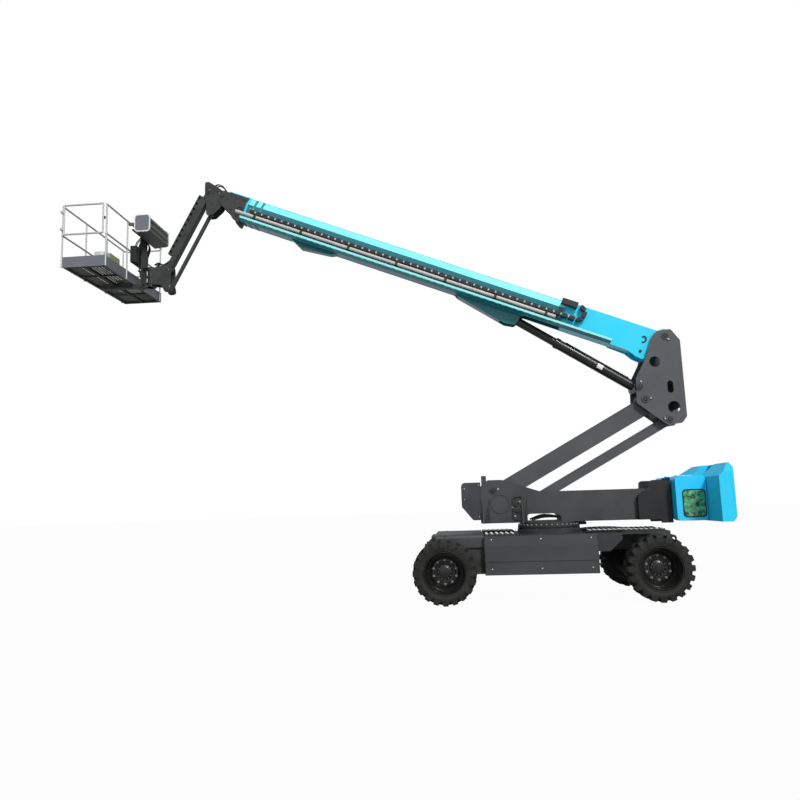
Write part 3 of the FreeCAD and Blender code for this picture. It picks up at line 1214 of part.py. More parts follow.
def platform_floor():
    """Platform floor tray with its toe board, the beam below it and the rotator's two ears."""
    top = S.floor_dz
    low = top - S.floor_thick
    outer, inner = OUTER_X + S.post_radius, INNER_X - S.post_radius
    tray = box("floor_block", (outer, inner), (-END_Y, END_Y), (low, top + S.toe_height))
    inside = box("floor_inside", (outer + S.toe_plate, inner - S.toe_plate),
                 (-END_Y + S.toe_plate, END_Y - S.toe_plate), (top, top + S.toe_height + 1))
    frame = 60
    below = box("floor_below", (OUTER_X + frame, INNER_X - frame),
                (-END_Y + frame, END_Y - frame), (low - 1, top - 12))
    folded = cut("floor_tray", tray, inside, below)
    beam_low, back = S.rotator_low - 5 - S.ear_thick, S.bracket_back
    beam = box("floor_beam", (OUTER_X + 130, -back), (-60, 60), (beam_low, low))
    spine = box("bracket_spine", (-back - 20, -back), (-120, 120), (beam_low, S.console_low))
    ears = []
    thick = S.ear_thick
    for name, base in (("low", beam_low), ("high", S.rotator_high + 5)):
        disc = rod(f"ear_disc_{name}", S.turn_radius, base, base + thick, along="z")
        arm = box(f"ear_arm_{name}", (-back, 0), (-S.turn_radius, S.turn_radius),
                  (base, base + thick))
        ears += [disc, arm]
    shaft = rod("turn_shaft", S.rotator_pin, beam_low, S.rotator_high + 5 + thick, along="z")
    whole = fuse("floor_weld", folded, beam, spine, shaft, *ears)
    piece("platform_floor", whole, CAGE_X, 0, TIP_Z)


def platform_rails():
    """Tubular guard rails on three sides, top and middle, with their posts."""
    base = S.floor_dz
    top, mid = base + S.rail_height, base + S.mid_height
    tube = S.rail_radius
    tubes = []
    near, bend = -END_Y - S.rail_radius, S.cage_corner
    for level, z in (("top", top), ("mid", mid)):
        tubes += [bar(f"rail_{level}_outer", tube, near, END_Y - bend, x=OUTER_X, z=z),
                  bar(f"rail_{level}_inner", tube, near, END_Y - bend, x=INNER_X, z=z),
                  bar(f"rail_{level}_far", tube, OUTER_X + bend, INNER_X - bend, y=END_Y, z=z,
                      along="x"),
                  bend_at(f"bend_{level}_inner", INNER_X - bend, END_Y - bend, z, 0),
                  bend_at(f"bend_{level}_outer", OUTER_X + bend, END_Y - bend, z, 90)]
    foot = base - S.floor_thick
    for index, y in enumerate((-END_Y, -END_Y / 3, END_Y / 3, END_Y - bend)):
        for side, x in (("outer", OUTER_X), ("inner", INNER_X)):
            make_post = rod if side == "outer" and index == 0 else bar
            tubes.append(make_post(f"post_{side}_{index}", S.post_radius, foot, top, x=x, y=y,
                                   along="z"))
    piece("platform_rails", fuse("rail_weld", *tubes), CAGE_X, 0, TIP_Z)


def bend_at(name, x, y, z, turn):
    """A quarter bend of eight-sided rail about a corner's centre, ruled between four sections."""
    sections = []
    for index in range(4):
        angle = turn + 30 * index
        ring = doc.addObject("Part::RegularPolygon", f"{name}_ring{index}")
        ring.Polygon = 8
        bind(ring, "Circumradius", S.rail_radius)
        upright_ring, around = Rotation(AXES["x"], -90), Rotation(AXES["z"], angle)
        ring.Placement = Placement(Vector(0, 0, 0), around * upright_ring)
        bind(ring, "Placement.Base.x", x + S.cage_corner * math.cos(math.radians(angle)))
        bind(ring, "Placement.Base.y", y + S.cage_corner * math.sin(math.radians(angle)))
        bind(ring, "Placement.Base.z", z)
        sections.append(ring)
    loft = doc.addObject("Part::Loft", name)
    loft.Sections = sections
    loft.Solid = True
    loft.Ruled = True
    return loft


def platform_console():
    """Control box on the inner rail above the rotator."""
    back = S.bracket_back
    shell = side_pad("console_box", [[
        (-back + 14, S.console_low), (S.console_reach, S.console_low + 40, 20),
        (S.console_reach, S.console_high - 60, 30), (-back + 14, S.console_high, 20)]],
        -S.console_half, S.console_half)
    arms = [box(f"console_arm_{side}", (INNER_X + S.rail_radius, -back + 14), (y, y + 40),
                (S.console_low + 180, S.console_low + 230))
            for side, y in (("near", -S.console_half + 20), ("far", S.console_half - 60))]
    piece("platform_console", fuse("console_weld", shell, *arms), CAGE_X, 0, TIP_Z)


def platform_gate():
    """Gate across the near end: two bars on stiles, hung on the outer post by two loops."""
    base = S.floor_dz
    top, mid = base + S.rail_height, base + S.mid_height
    tube, stile = S.rail_radius, S.post_radius
    plane = -S.gate_offset
    start, end = S.gate_offset, S.cage_wide - S.gate_offset
    bars = [bar("gate_top", tube, start, end, y=plane, z=top, along="x"),
            bar("gate_mid", tube, start, end, y=plane, z=mid, along="x"),
            bar("gate_stile_hinge", stile, mid, top, x=start, y=plane, along="z"),
            bar("gate_stile_latch", stile, mid, top, x=end, y=plane, along="z")]
    loops = []
    for index, z in enumerate((mid + 90, top - 130)):
        strap = box(f"gate_strap_{index}", (-tube - 12, start), (plane - 6, plane + 6), (z, z + 40))
        side = box(f"gate_knuckle_{index}", (-tube - 12, tube + 12), (plane, size(0)), (z, z + 40))
        ring = rod(f"gate_ring_{index}", tube + 12, z, z + 40, along="z")
        loops += [strap, side, ring]
    hinge = rod("gate_hinge_bore", stile + S.pin_gap, mid, top, along="z")
    gate = cut("gate_bored", fuse("gate_weld", *bars, *loops), hinge)
    piece("platform_gate", gate, CAGE_X + OUTER_X, -END_Y, TIP_Z)


# ---------------------------------------------------------------- build, check and write

for make in (chassis_frame, side_covers, battery_packs, deck_treads, tie_downs, front_axle,
             rear_axle, knuckles, wheels, slew_rings, turret_frame, nose_cover, housings, hoods,
             counterweight, riser_beams, upright, boom_outer, boom_mid, boom_fly, chain_tray,
             drag_chain, lift_cylinder, nose_bracket, jib_arm, jib_guard, jib_link, jib_head,
             platform_floor, platform_rails, platform_console, platform_gate):
    make()

doc.recompute()
for thing in doc.Objects:
    if "Invalid" in thing.State or "Error" in thing.State:
        raise RuntimeError(f"{thing.Name} has not built: {thing.State}")

os.makedirs("parts", exist_ok=True)
for node, thing in PIECES.items():
    if thing.Shape.isNull() or not thing.Shape.isValid():
        raise RuntimeError(f"{node} has no sound shape")
    thing.Shape.exportStep(f"parts/{node}.step")
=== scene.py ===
import math

import bmesh
import bpy
import numpy as np
from mathutils import Matrix


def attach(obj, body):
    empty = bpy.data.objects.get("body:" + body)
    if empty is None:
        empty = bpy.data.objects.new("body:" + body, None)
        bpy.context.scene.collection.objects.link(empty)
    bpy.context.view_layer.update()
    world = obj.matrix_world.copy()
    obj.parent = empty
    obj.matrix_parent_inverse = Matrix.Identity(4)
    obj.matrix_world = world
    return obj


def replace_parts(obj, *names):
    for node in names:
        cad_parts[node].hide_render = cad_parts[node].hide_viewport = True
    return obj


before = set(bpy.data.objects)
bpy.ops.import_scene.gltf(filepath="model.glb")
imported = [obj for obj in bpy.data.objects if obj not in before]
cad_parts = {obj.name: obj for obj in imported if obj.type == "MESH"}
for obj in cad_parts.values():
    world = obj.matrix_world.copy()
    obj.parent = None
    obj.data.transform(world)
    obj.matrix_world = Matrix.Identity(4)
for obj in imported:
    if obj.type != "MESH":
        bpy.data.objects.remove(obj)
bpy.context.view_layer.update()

# Everything is in metres in the machine's own frame: +Z up, the booms towards -X, near side -Y.


# ------------------------------------------------------------------ studio
# A pale floor and a white surround, with a sun high on the near side towards the tail. The camera
# is low beside the near wheels and turned slightly towards the platform.

VIEW_FROM = np.array([1.193, -12.836, 1.669])
YAW, PITCH, ROLL = math.radians(-4.644), math.radians(8.071), math.radians(-1.685)
FOCAL_LENGTH = 32.11
FLOOR_RADIUS, FLOOR_SIDES, FLOOR_DROP, FLOOR_GLOW = 90, 96, 0.002, 0.97


def node(tree, kind, inputs=(), **settings):
    """A new shader node with its settings and the values of its inputs."""
    made = tree.nodes.new("ShaderNode" + kind)
    for name, value in settings.items():
        setattr(made, name, value)
    for name, value in dict(inputs).items():
        made.inputs[name].default_value = value
    return made


def wire(tree, *links):
    """Joins nodes: each link is a node, its output, the next node and that one's input."""
    for start, output, end, entry in links:
        tree.links.new(start.outputs[output], end.inputs[entry])


def put_camera():
    """The view direction is the level yaw direction tipped up by the pitch, then rolled."""
    ahead_level = np.array([math.sin(YAW), math.cos(YAW), 0])
    right_level = np.array([math.cos(YAW), -math.sin(YAW), 0])
    up = np.array([0, 0, 1])
    ahead = ahead_level * math.cos(PITCH) + up * math.sin(PITCH)
    over = up * math.cos(PITCH) - ahead_level * math.sin(PITCH)
    right = right_level * math.cos(ROLL) + over * math.sin(ROLL)
    top = over * math.cos(ROLL) - right_level * math.sin(ROLL)
    camera = bpy.data.objects.new("camera", bpy.data.cameras.new("camera"))
    camera.data.lens = FOCAL_LENGTH
    camera.data.clip_end = 300
    turn = np.eye(4)
    turn[:3, 0], turn[:3, 1], turn[:3, 2], turn[:3, 3] = right, top, -ahead, VIEW_FROM
    camera.matrix_world = Matrix(turn.tolist())
    bpy.context.collection.objects.link(camera)
    bpy.context.scene.camera = camera


def white_surround(strength):
    """World that shows white to the eye and through glass, and lights at its own strength."""
    world = bpy.data.worlds.new("surround")
    world.use_nodes = True
    tree = world.node_tree
    tree.nodes.clear()
    rays = node(tree, "LightPath")
    seen = node(tree, "Math", operation="MAXIMUM")
    white = node(tree, "Background", {"Color": (1, 1, 1, 1)})
    light = node(tree, "Background", {"Color": (0.93, 0.97, 1.0, 1), "Strength": strength})
    mix, out = node(tree, "MixShader"), node(tree, "OutputWorld")
    wire(tree, (rays, "Is Camera Ray", seen, 0), (rays, "Is Transmission Ray", seen, 1),
         (seen, 0, mix, "Fac"), (light, 0, mix, 1), (white, 0, mix, 2), (mix, 0, out, "Surface"))
    bpy.context.scene.world = world


def put_sun(name, power, spread, tilt, bearing):
    """A wide soft sun; tilt is from straight down, bearing is where its light comes from."""
    sun = bpy.data.objects.new(name, bpy.data.lights.new(name, "SUN"))
    sun.data.energy = power
    sun.data.angle = math.radians(spread)
    sun.rotation_euler = (math.radians(tilt), 0, math.radians(bearing))
    bpy.context.collection.objects.link(sun)


def pale_floor():
    """A round floor just below the tyres that keeps the machine's soft shadow."""
    turns = np.linspace(0, 2 * math.pi, FLOOR_SIDES, endpoint=False)
    rim = np.stack([FLOOR_RADIUS * np.cos(turns), FLOOR_RADIUS * np.sin(turns),
                    np.full(FLOOR_SIDES, -FLOOR_DROP)], axis=1)
    mesh = bpy.data.meshes.new("floor")
    mesh.from_pydata(rim.tolist(), [], [list(range(FLOOR_SIDES))])
    floor = bpy.data.objects.new("floor", mesh)
    bpy.context.collection.objects.link(floor)
    paint = bpy.data.materials.new("floor_white")
    paint.use_nodes = True
    tree = paint.node_tree
    shader = tree.nodes["Principled BSDF"]
    shader.inputs["Base Color"].default_value = (0.34, 0.34, 0.33, 1)
    shader.inputs["Roughness"].default_value = 0.9
    glow, rays, mix = node(tree, "Emission"), node(tree, "LightPath"), node(tree, "MixShader")
    share = node(tree, "Math", {1: FLOOR_GLOW}, operation="MULTIPLY")
    wire(tree, (rays, "Is Camera Ray", share, 0), (share, 0, mix, "Fac"), (shader, 0, mix, 1),
         (glow, 0, mix, 2), (mix, 0, tree.nodes["Material Output"], "Surface"))
    mesh.materials.append(paint)


put_camera()
white_surround(0.50)
put_sun("high_sun", 2.6, 12, 50, 26)
put_sun("low_fill", 0.25, 60, 78, -30)
pale_floor()
bpy.context.scene.view_settings.view_transform = "Standard"


# ------------------------------------------------------------------ tyres
# Solid rubber tyres about a metre high. Each is moulded in one piece: two rows of deep shoulder
# lugs set half a pitch apart, a plain tread band between, and sidewalls with a ring of vents.

AXLE_HEIGHT = 0.515
TYRE_OUTER, TYRE_CROWN, TYRE_BEAD, VENT_CIRCLE = 0.515, 0.470, 0.333, 0.428
TYRE_HALF = 0.1775
LUGS = 20
FRONT_X, REAR_X, WHEEL_Y = 0.880, 4.240, 1.0675
SIDES = ((-1, "near"), (1, "far"))
WHEELS = [(end, side, x, sign) for end, x in (("front", FRONT_X), ("rear", REAR_X))
          for sign, side in SIDES]


def weathering_group():
    """Colour and roughness that drift with a slow noise, with a fine noise as surface grain."""
    group = bpy.data.node_groups.new("weathering", "ShaderNodeTree")
    for way, kind, names in (
            ("INPUT", "Color", ("Color", "Dust")),
            ("INPUT", "Float", ("Dust Share", "Patch Scale", "Roughness", "Roughness Drift",
                                "Grain Scale", "Grain Depth")),
            ("OUTPUT", "Color", ("Color",)), ("OUTPUT", "Float", ("Roughness",)),
            ("OUTPUT", "Vector", ("Normal",))):
        for name in names:
            group.interface.new_socket(name=name, in_out=way, socket_type="NodeSocket" + kind)
    given, out = group.nodes.new("NodeGroupInput"), group.nodes.new("NodeGroupOutput")
    place = node(group, "TexCoord")
    patches = node(group, "TexNoise", {"Detail": 5, "Roughness": 0.62})
    spread = node(group, "MapRange", {"From Min": 0.38, "From Max": 0.72})
    share = node(group, "Math", operation="MULTIPLY")
    blend = node(group, "Mix", data_type="RGBA")
    drift = node(group, "Math", operation="MULTIPLY_ADD")
    grain = node(group, "TexNoise", {"Detail": 3})
    bump = node(group, "Bump", {"Distance": 0.002})
    wire(group, (place, "Object", patches, "Vector"), (given, "Patch Scale", patches, "Scale"),
         (patches, "Fac", spread, "Value"), (spread, "Result", share, 0),
         (given, "Dust Share", share, 1), (share, 0, blend, "Factor"),
         (given, "Color", blend, "A"), (given, "Dust", blend, "B"),
         (blend, "Result", out, "Color"), (spread, "Result", drift, 0),
         (given, "Roughness Drift", drift, 1), (given, "Roughness", drift, 2),
         (drift, 0, out, "Roughness"), (place, "Object", grain, "Vector"),
         (given, "Grain Scale", grain, "Scale"), (grain, "Fac", bump, "Height"),
         (given, "Grain Depth", bump, "Strength"), (bump, "Normal", out, "Normal"))
    return group


weathering = weathering_group()


def linear(red, green, blue):
    """Linear colour from the usual 0 to 255 screen values, by the sRGB curve."""
    share = np.array([red, green, blue]) / 255
    return (*np.where(share <= 0.04045, share / 12.92, ((share + 0.055) / 1.055) ** 2.4), 1.0)


def finish(name, colour, dust=(120, 116, 104), dust_share=0.1, patch=5, rough=0.5,
           drift=0.15, grain=160, depth=0.15, metal=0.0, coat=0.0, specular=0.5):
    """A weathered material: its colour, what settles on it, and how rough and grainy it is."""
    made = bpy.data.materials.new(name)
    made.use_nodes = True
    tree = made.node_tree
    shader = tree.nodes["Principled BSDF"]
    wear = node(tree, "Group", node_tree=weathering)
    for socket, value in (("Color", linear(*colour)), ("Dust", linear(*dust)),
                          ("Dust Share", dust_share), ("Patch Scale", patch),
                          ("Roughness", rough), ("Roughness Drift", drift),
                          ("Grain Scale", grain), ("Grain Depth", depth)):
        wear.inputs[socket].default_value = value
    wire(tree, (wear, "Color", shader, "Base Color"), (wear, "Roughness", shader, "Roughness"),
         (wear, "Normal", shader, "Normal"))
    for socket, value in (("Metallic", metal), ("Coat Weight", coat), ("Coat Roughness", 0.08),
                          ("Specular IOR Level", specular)):
        shader.inputs[socket].default_value = value
    return made


def grid_faces(rows, columns, wrap_rows=False, wrap_columns=False):
    """Four-cornered faces between neighbouring rows and columns of a grid of points."""
    row = np.arange(rows if wrap_rows else rows - 1)[:, None]
    column = np.arange(columns if wrap_columns else columns - 1)[None, :]
    next_row, next_column = (row + 1) % rows, (column + 1) % columns
    corners = [row * columns + column, row * columns + next_column,
               next_row * columns + next_column, next_row * columns + column]
    return np.stack([np.broadcast_to(c, (row.size, column.size)) for c in corners],
                    axis=-1).reshape(-1, 4)


def lathe(profile, steps, closed=False):
    """Each profile point (radius, height) is carried round the Z axis: (r cos t, r sin t, h).

    An open profile gets a flat face across each end; a closed one is a ring.
    """
    profile = np.asarray(profile, float)
    turns = np.linspace(0, 2 * math.pi, steps, endpoint=False)[:, None]
    points = np.stack([profile[:, 0] * np.cos(turns), profile[:, 0] * np.sin(turns),
                       np.broadcast_to(profile[:, 1], (steps, len(profile)))], axis=-1)
    count = len(profile)
    faces = [grid_faces(steps, count, True, closed)]
    if not closed:
        ring = np.arange(steps) * count
        faces += [ring[None, ::-1], (ring + count - 1)[None, :]]
    return points.reshape(-1, 3), faces


def moved(shell, place):
    """The same faces with every point put through a function."""
    points, faces = shell
    return place(points), faces


def put(shell, *offset):
    """A shell carried to a place."""
    return moved(shell, lambda p: p + offset)


def scaled(shell, factors):
    """A shell stretched or mirrored by a factor for each axis."""
    return moved(shell, lambda p: p * factors)


def spun(shell, angle):
    """A shell turned about the Z axis."""
    c, s = math.cos(angle), math.sin(angle)
    return moved(shell, lambda p: p @ np.array([[c, s, 0], [-s, c, 0], [0, 0, 1]]))


def build(name, shells, material, body, smooth=40, bevel=0.0):
    """One object from closed shells, its faces turned outwards and its sharp edges kept."""
    points, loops, sizes, start = [], [], [], 0
    for shell_points, faces in shells:
        points.append(shell_points)
        for rows in faces:
            loops.append((rows + start).ravel())
            sizes.append(np.full(len(rows), rows.shape[1]))
        start += len(shell_points)
    points, loops, sizes = np.concatenate(points), np.concatenate(loops), np.concatenate(sizes)
    starts = np.concatenate([[0], np.cumsum(sizes)[:-1]])
    mesh = bpy.data.meshes.new(name)
    mesh.vertices.add(len(points))
    mesh.vertices.foreach_set("co", points.astype(np.float32).ravel())
    mesh.loops.add(len(loops))
    mesh.loops.foreach_set("vertex_index", loops.astype(np.int32))
    mesh.polygons.add(len(sizes))
    mesh.polygons.foreach_set("loop_start", starts.astype(np.int32))
    mesh.polygons.foreach_set("loop_total", sizes.astype(np.int32))
    mesh.update(calc_edges=True)
    work = bmesh.new()
    work.from_mesh(mesh)
    bmesh.ops.recalc_face_normals(work, faces=work.faces)
    work.to_mesh(mesh)
    work.free()
    mesh.polygons.foreach_set("use_smooth", np.ones(len(mesh.polygons), dtype=bool))
    mesh.set_sharp_from_angle(angle=math.radians(smooth))
    mesh.materials.append(material)
    thing = bpy.data.objects.new(name, mesh)
    bpy.context.collection.objects.link(thing)
    if bevel:
        edge = thing.modifiers.new("soft_edges", "BEVEL")
        edge.width, edge.segments, edge.limit_method = bevel, 2, "ANGLE"
        edge.angle_limit = math.radians(35)
        edge.harden_normals = True
    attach(thing, body)
    return thing


def on_wheel(shells, x, side):
    """Shells drawn with Z outwards put on one wheel; side is -1 near, +1 far."""
    return [moved(shell, lambda p: np.column_stack([
        x + p[:, 0], side * (WHEEL_Y + p[:, 2]), AXLE_HEIGHT + p[:, 1]])) for shell in shells]


def tyre_carcass():
    """Ring swept from a closed profile: bead, bulged sidewall, rounded shoulder and tread band."""
    half = TYRE_HALF
    profile = [(TYRE_BEAD, -half + 0.02), (TYRE_BEAD + 0.008, -half + 0.006),
               (TYRE_BEAD + 0.02, -half + 0.004), (TYRE_BEAD + 0.024, -half + 0.010),
               (TYRE_BEAD + 0.032, -half + 0.010), (0.39, -half + 0.002), (0.42, -half),
               (TYRE_CROWN - 0.022, -half + 0.004), (TYRE_CROWN - 0.006, -half + 0.020),
               (TYRE_CROWN, -half + 0.045)]
    mirrored = [(r, -h) for r, h in reversed(profile)]
    return lathe(profile + [(TYRE_CROWN + 0.002, 0)] + mirrored, 120, closed=True)


def tyre_lugs():
    """Blocks in four levels from inside the carcass to the tread, each with its four corners at
    (r cos t, r sin t, h), the angles and heights drawn in towards the tread.
    """
    low, high = 0.006, TYRE_HALF - 0.004
    root, face = math.radians(5.9), math.radians(4.45)
    levels = np.array([(0.435, root, 0.0), (TYRE_CROWN, root, 0.0),
                       (TYRE_OUTER - 0.006, face + 0.006, 0.0),
                       (TYRE_OUTER - 0.0005, face - 0.006, 0.007)])
    radius, spread, shrink = levels.T[:, :, None]
    angle, inner_edge = spread * [-1, 0.9, 1, -1], low + shrink
    outer_edge = high - shrink - np.maximum(0, radius - TYRE_CROWN) * 0.25
    height = np.hstack([inner_edge, inner_edge, outer_edge, outer_edge])
    points = np.stack([radius * np.cos(angle), radius * np.sin(angle), height], axis=-1)
    lug = (points.reshape(-1, 3),
           [grid_faces(4, 4, False, True), np.array([[3, 2, 1, 0]]), np.array([[12, 13, 14, 15]])])
    twin, pitch = scaled(lug, [1, 1, -1]), 2 * math.pi / LUGS
    return ([spun(lug, index * pitch) for index in range(LUGS)]
            + [spun(twin, (index + 0.5) * pitch) for index in range(LUGS)])


def sidewall_vents():
    """Dark dished holes, each in a low raised rim, on a ring round both sidewalls."""
    dish = lathe([(0.0185, 0), (0.0180, 0.0022), (0.0155, 0.0026), (0.0140, 0.0006),
                  (0.003, 0.0004)], 16)
    shells = []
    for index in range(LUGS):
        angle = (index + 0.5) * 2 * math.pi / LUGS
        hole = put(dish, VENT_CIRCLE * math.cos(angle), VENT_CIRCLE * math.sin(angle),
                   TYRE_HALF - 0.0008)
        shells += [hole, scaled(hole, [1, 1, -1])]
    return shells


tyre_rubber = finish("tyre_rubber", (25, 27, 24), dust=(80, 78, 70), dust_share=0.20, patch=7,
                     rough=0.55, grain=260, depth=0.5, specular=0.3)
# Near-black painted shade for the inside of the vents, which are drawn as shallow dishes.
vent_painted_shade = finish("vent_painted_shade", (5, 5, 5), dust=(40, 38, 34), dust_share=0.12, patch=9,
                     rough=0.85, drift=0.1, grain=200, depth=0.3)
tyre_shells, vent_shells = [tyre_carcass()] + tyre_lugs(), sidewall_vents()
for end, side, x, sign in WHEELS:
    tyre = build(f"tyre_{end}_{side}_rubber", on_wheel(tyre_shells, x, sign), tyre_rubber,
                 f"wheel_{end}_{side}", smooth=32)
    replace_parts(tyre, f"tyre_{end}_{side}")
    # The vents take the near-black painted shade.
    build(f"tyre_{end}_{side}_vents", on_wheel(vent_shells, x, sign), vent_painted_shade,
          f"wheel_{end}_{side}")


# ------------------------------------------------------------------ rims
# Pressed steel rims painted near-black: a rolled barrel, a deep dished disc with ten wheel nuts on
# their circle, and the capped hub of the planetary drive standing through the middle.

DISC_OUT = -0.075
NUTS, NUT_CIRCLE, CAP_SCREWS, CAP_CIRCLE = 10, 0.190, 12, 0.110
rim_paint = finish("rim_black", (8, 10, 8), dust=(50, 50, 44), dust_share=0.12, patch=6, rough=0.30,
                   drift=0.2, grain=120, depth=0.12, coat=0.3)
nut_steel = finish("nut_steel", (150, 150, 140), dust=(50, 44, 36), dust_share=0.3, patch=30,
                   rough=0.45, metal=0.8)


def prism(outline, low, high):
    """An outline of (x, y) points raised from one height to another, with flat ends."""
    outline = np.asarray(outline, float)
    count = len(outline)
    points = np.concatenate([np.column_stack([outline, np.full(count, height)])
                             for height in (low, high)])
    ends = np.arange(count)[None, :]
    return points, [grid_faces(2, count, False, True), ends[:, ::-1], ends + count]


def hexagon(radius):
    """Six corners of a nut or bolt head, evenly round a circle."""
    turns = np.arange(6) * math.pi / 3
    return radius * np.column_stack([np.cos(turns), np.sin(turns)])


def rim_shells():
    """Rolled barrel, dished disc with its stiffening swage, and the drive's cap at the middle."""
    lip = TYRE_HALF - 0.012
    barrel = [(0.331, lip - 0.010), (0.329, lip), (0.322, lip + 0.001), (0.317, lip - 0.006),
              (0.314, lip - 0.040), (0.306, lip - 0.060), (0.306, -0.02), (0.300, -0.055),
              (0.285, DISC_OUT), (0.235, DISC_OUT + 0.004), (0.215, DISC_OUT + 0.020),
              (0.175, DISC_OUT + 0.020), (0.160, DISC_OUT + 0.004), (0.128, DISC_OUT + 0.002),
              (0.128, DISC_OUT - 0.012), (0.30, DISC_OUT - 0.013), (0.316, DISC_OUT - 0.03),
              (0.316, -lip), (0.329, -lip), (0.331, -lip + 0.01)]
    cap = [(0.126, DISC_OUT - 0.01), (0.126, DISC_OUT + 0.020), (0.119, DISC_OUT + 0.028),
           (0.096, DISC_OUT + 0.033), (0.094, DISC_OUT + 0.050), (0.082, DISC_OUT + 0.056)]
    return [lathe(barrel, 96, closed=True), lathe(cap, 60)]


def wheel_nuts():
    """Six-sided nuts on studs and washers round the disc, small screws round the drive's cap."""
    base = DISC_OUT + 0.020
    parts = [prism(hexagon(0.0140), base + 0.002, base + 0.018),
             lathe([(0.021, base - 0.004), (0.021, base + 0.003)], 18),
             lathe([(0.008, base), (0.008, base + 0.026)], 12)]
    small = lathe([(0.007, 0), (0.007, 0.006)], 6)
    return ([spun(put(part, NUT_CIRCLE, 0, 0), (index + 0.5) * 2 * math.pi / NUTS)
             for index in range(NUTS) for part in parts]
            + [spun(put(small, CAP_CIRCLE, 0, DISC_OUT + 0.029), index * 2 * math.pi / CAP_SCREWS)
               for index in range(CAP_SCREWS)])


for end, side, x, sign in WHEELS:
    rim = build(f"rim_{end}_{side}_steel", on_wheel(rim_shells(), x, sign), rim_paint,
                f"wheel_{end}_{side}")
    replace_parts(rim, f"rim_{end}_{side}")
    build(f"rim_{end}_{side}_nuts", on_wheel(wheel_nuts(), x, sign), nut_steel,
          f"wheel_{end}_{side}", smooth=30)


# ------------------------------------------------------------------ chassis
# Welded and folded plate in near-black satin paint: spine, battery bay with covers screwed on, deck
# planks with raised dimples, the axles below and lashing lugs at the ends. Screws are zinc plated.

SLEW_X = 2.690
BAY_HALF, COVER_FACE = 0.950, 0.946
DIMPLE_PITCH, DECK_TOP = 0.085, 1.092
DRIVE_FACE, DRIVE_CIRCLE, DRIVE_BOLTS = 0.896, 0.132, 12


def dress(material, *names):
    """These frame pieces take one material."""
    for name in names:
        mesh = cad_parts[name].data
        mesh.materials.clear()
        mesh.materials.append(material)


def block(x, y, z):
    """Box between two places on each axis."""
    return prism([(x[0], y[0]), (x[1], y[0]), (x[1], y[1]), (x[0], y[1])], *z)


def side_prism(outline, low, high):
    """An outline of (x, z) points carried across the machine from one y to another."""
    return moved(prism(outline, low, high), lambda p: p[:, [0, 2, 1]])


def facing(shell, centre, way):
    """A shell drawn about Z with Z pointing one way out of the machine, moved to a centre."""
    turns = {"near": lambda p: p[:, [0, 2, 1]] * [1, -1, 1], "far": lambda p: p[:, [0, 2, 1]],
             "up": lambda p: p, "front": lambda p: p[:, [2, 1, 0]] * [-1, 1, 1]}
    return put(moved(shell, turns[way]), *centre)


def bolt(radius, high=0.75):
    """Six-sided head on a washer, standing on Z = 0; its height is a share of its radius."""
    washer = lathe([(radius * 1.3, -0.001), (radius * 1.3, radius * 0.18)], 14)
    return [washer, prism(hexagon(radius), radius * 0.15, radius * (0.2 + high))]


def screw(radius):
    """Domed screw head standing on Z = 0."""
    return [lathe([(radius, -0.001), (radius, radius * 0.2), (radius * 0.8, radius * 0.45),
                   (radius * 0.35, radius * 0.6)], 12)]


def fixings(shape, centres, way=None):
    """One fixing at each centre, facing one way or else away from the machine's middle."""
    return [facing(shell, centre, way or ("near" if centre[1] < 0 else "far"))
            for centre in centres for shell in shape]


def tube(path, radius, steps=12, across=(0, 1, 0)):
    """Round tube: at each path point a ring square to the path, one axis square to `across`."""
    path = np.asarray(path, float)
    ahead = np.gradient(path, axis=0)
    ahead /= np.linalg.norm(ahead, axis=1)[:, None]
    side = np.cross(ahead, across)
    side /= np.linalg.norm(side, axis=1)[:, None]
    over = np.cross(side, ahead)
    turns = np.linspace(0, 2 * math.pi, steps, endpoint=False)[:, None]
    ring = np.cos(turns) * side[:, None] + np.sin(turns) * over[:, None]
    points = (path[:, None] + radius * ring).reshape(-1, 3)
    last = (len(path) - 1) * steps + np.arange(steps)[None, :]
    return points, [grid_faces(len(path), steps, False, True), np.arange(steps)[None, ::-1], last]


def hose(points, radius, steps=12, **more):
    """Tube on a Catmull-Rom curve: each stretch mixes its four nearest points by cubic weights."""
    p = np.asarray(points, float)
    p = np.vstack([2 * p[0] - p[1], p, 2 * p[-1] - p[-2]])
    t = np.linspace(0, 1, 10, endpoint=False)[None, :, None]
    a, b, c, d = (p[i:len(p) - 3 + i][:, None] for i in range(4))
    bits = 0.5 * (2 * b + (c - a) * t + (2 * a - 5 * b + 4 * c - d) * t ** 2
                  + (3 * b - a - 3 * c + d) * t ** 3)
    return tube(np.vstack([bits.reshape(-1, 3), p[-2]]), radius, steps, **more)


chassis_paint = finish("chassis_paint", (50, 51, 53), dust=(104, 102, 96), dust_share=0.13,
                       patch=1.3, rough=0.46, drift=0.2, grain=90, depth=0.1)
axle_paint = finish("axle_paint", (24, 26, 26), dust=(104, 98, 88), dust_share=0.3, patch=4,
                    rough=0.6, drift=0.2, grain=120, depth=0.2)
tread_steel = finish("tread_steel", (42, 44, 46), dust=(90, 88, 82), rough=0.7, grain=200,
                     depth=0.4)
zinc = finish("zinc_screws", (196, 198, 200), dust_share=0.2, patch=40, rough=0.35, metal=0.9)
pale_dimples = finish("worn_dimples", (214, 214, 206), dust_share=0.25, patch=12)
rubber_hose = finish("hose_rubber", (24, 26, 27), dust=(90, 88, 80), dust_share=0.18, patch=14,
                     rough=0.62, grain=220, depth=0.2)
dress(chassis_paint, "chassis_frame", "side_covers", "tie_downs")
dress(axle_paint, "front_axle", "rear_axle", "knuckle_near", "knuckle_far", "battery_packs")
dress(tread_steel, "deck_treads")

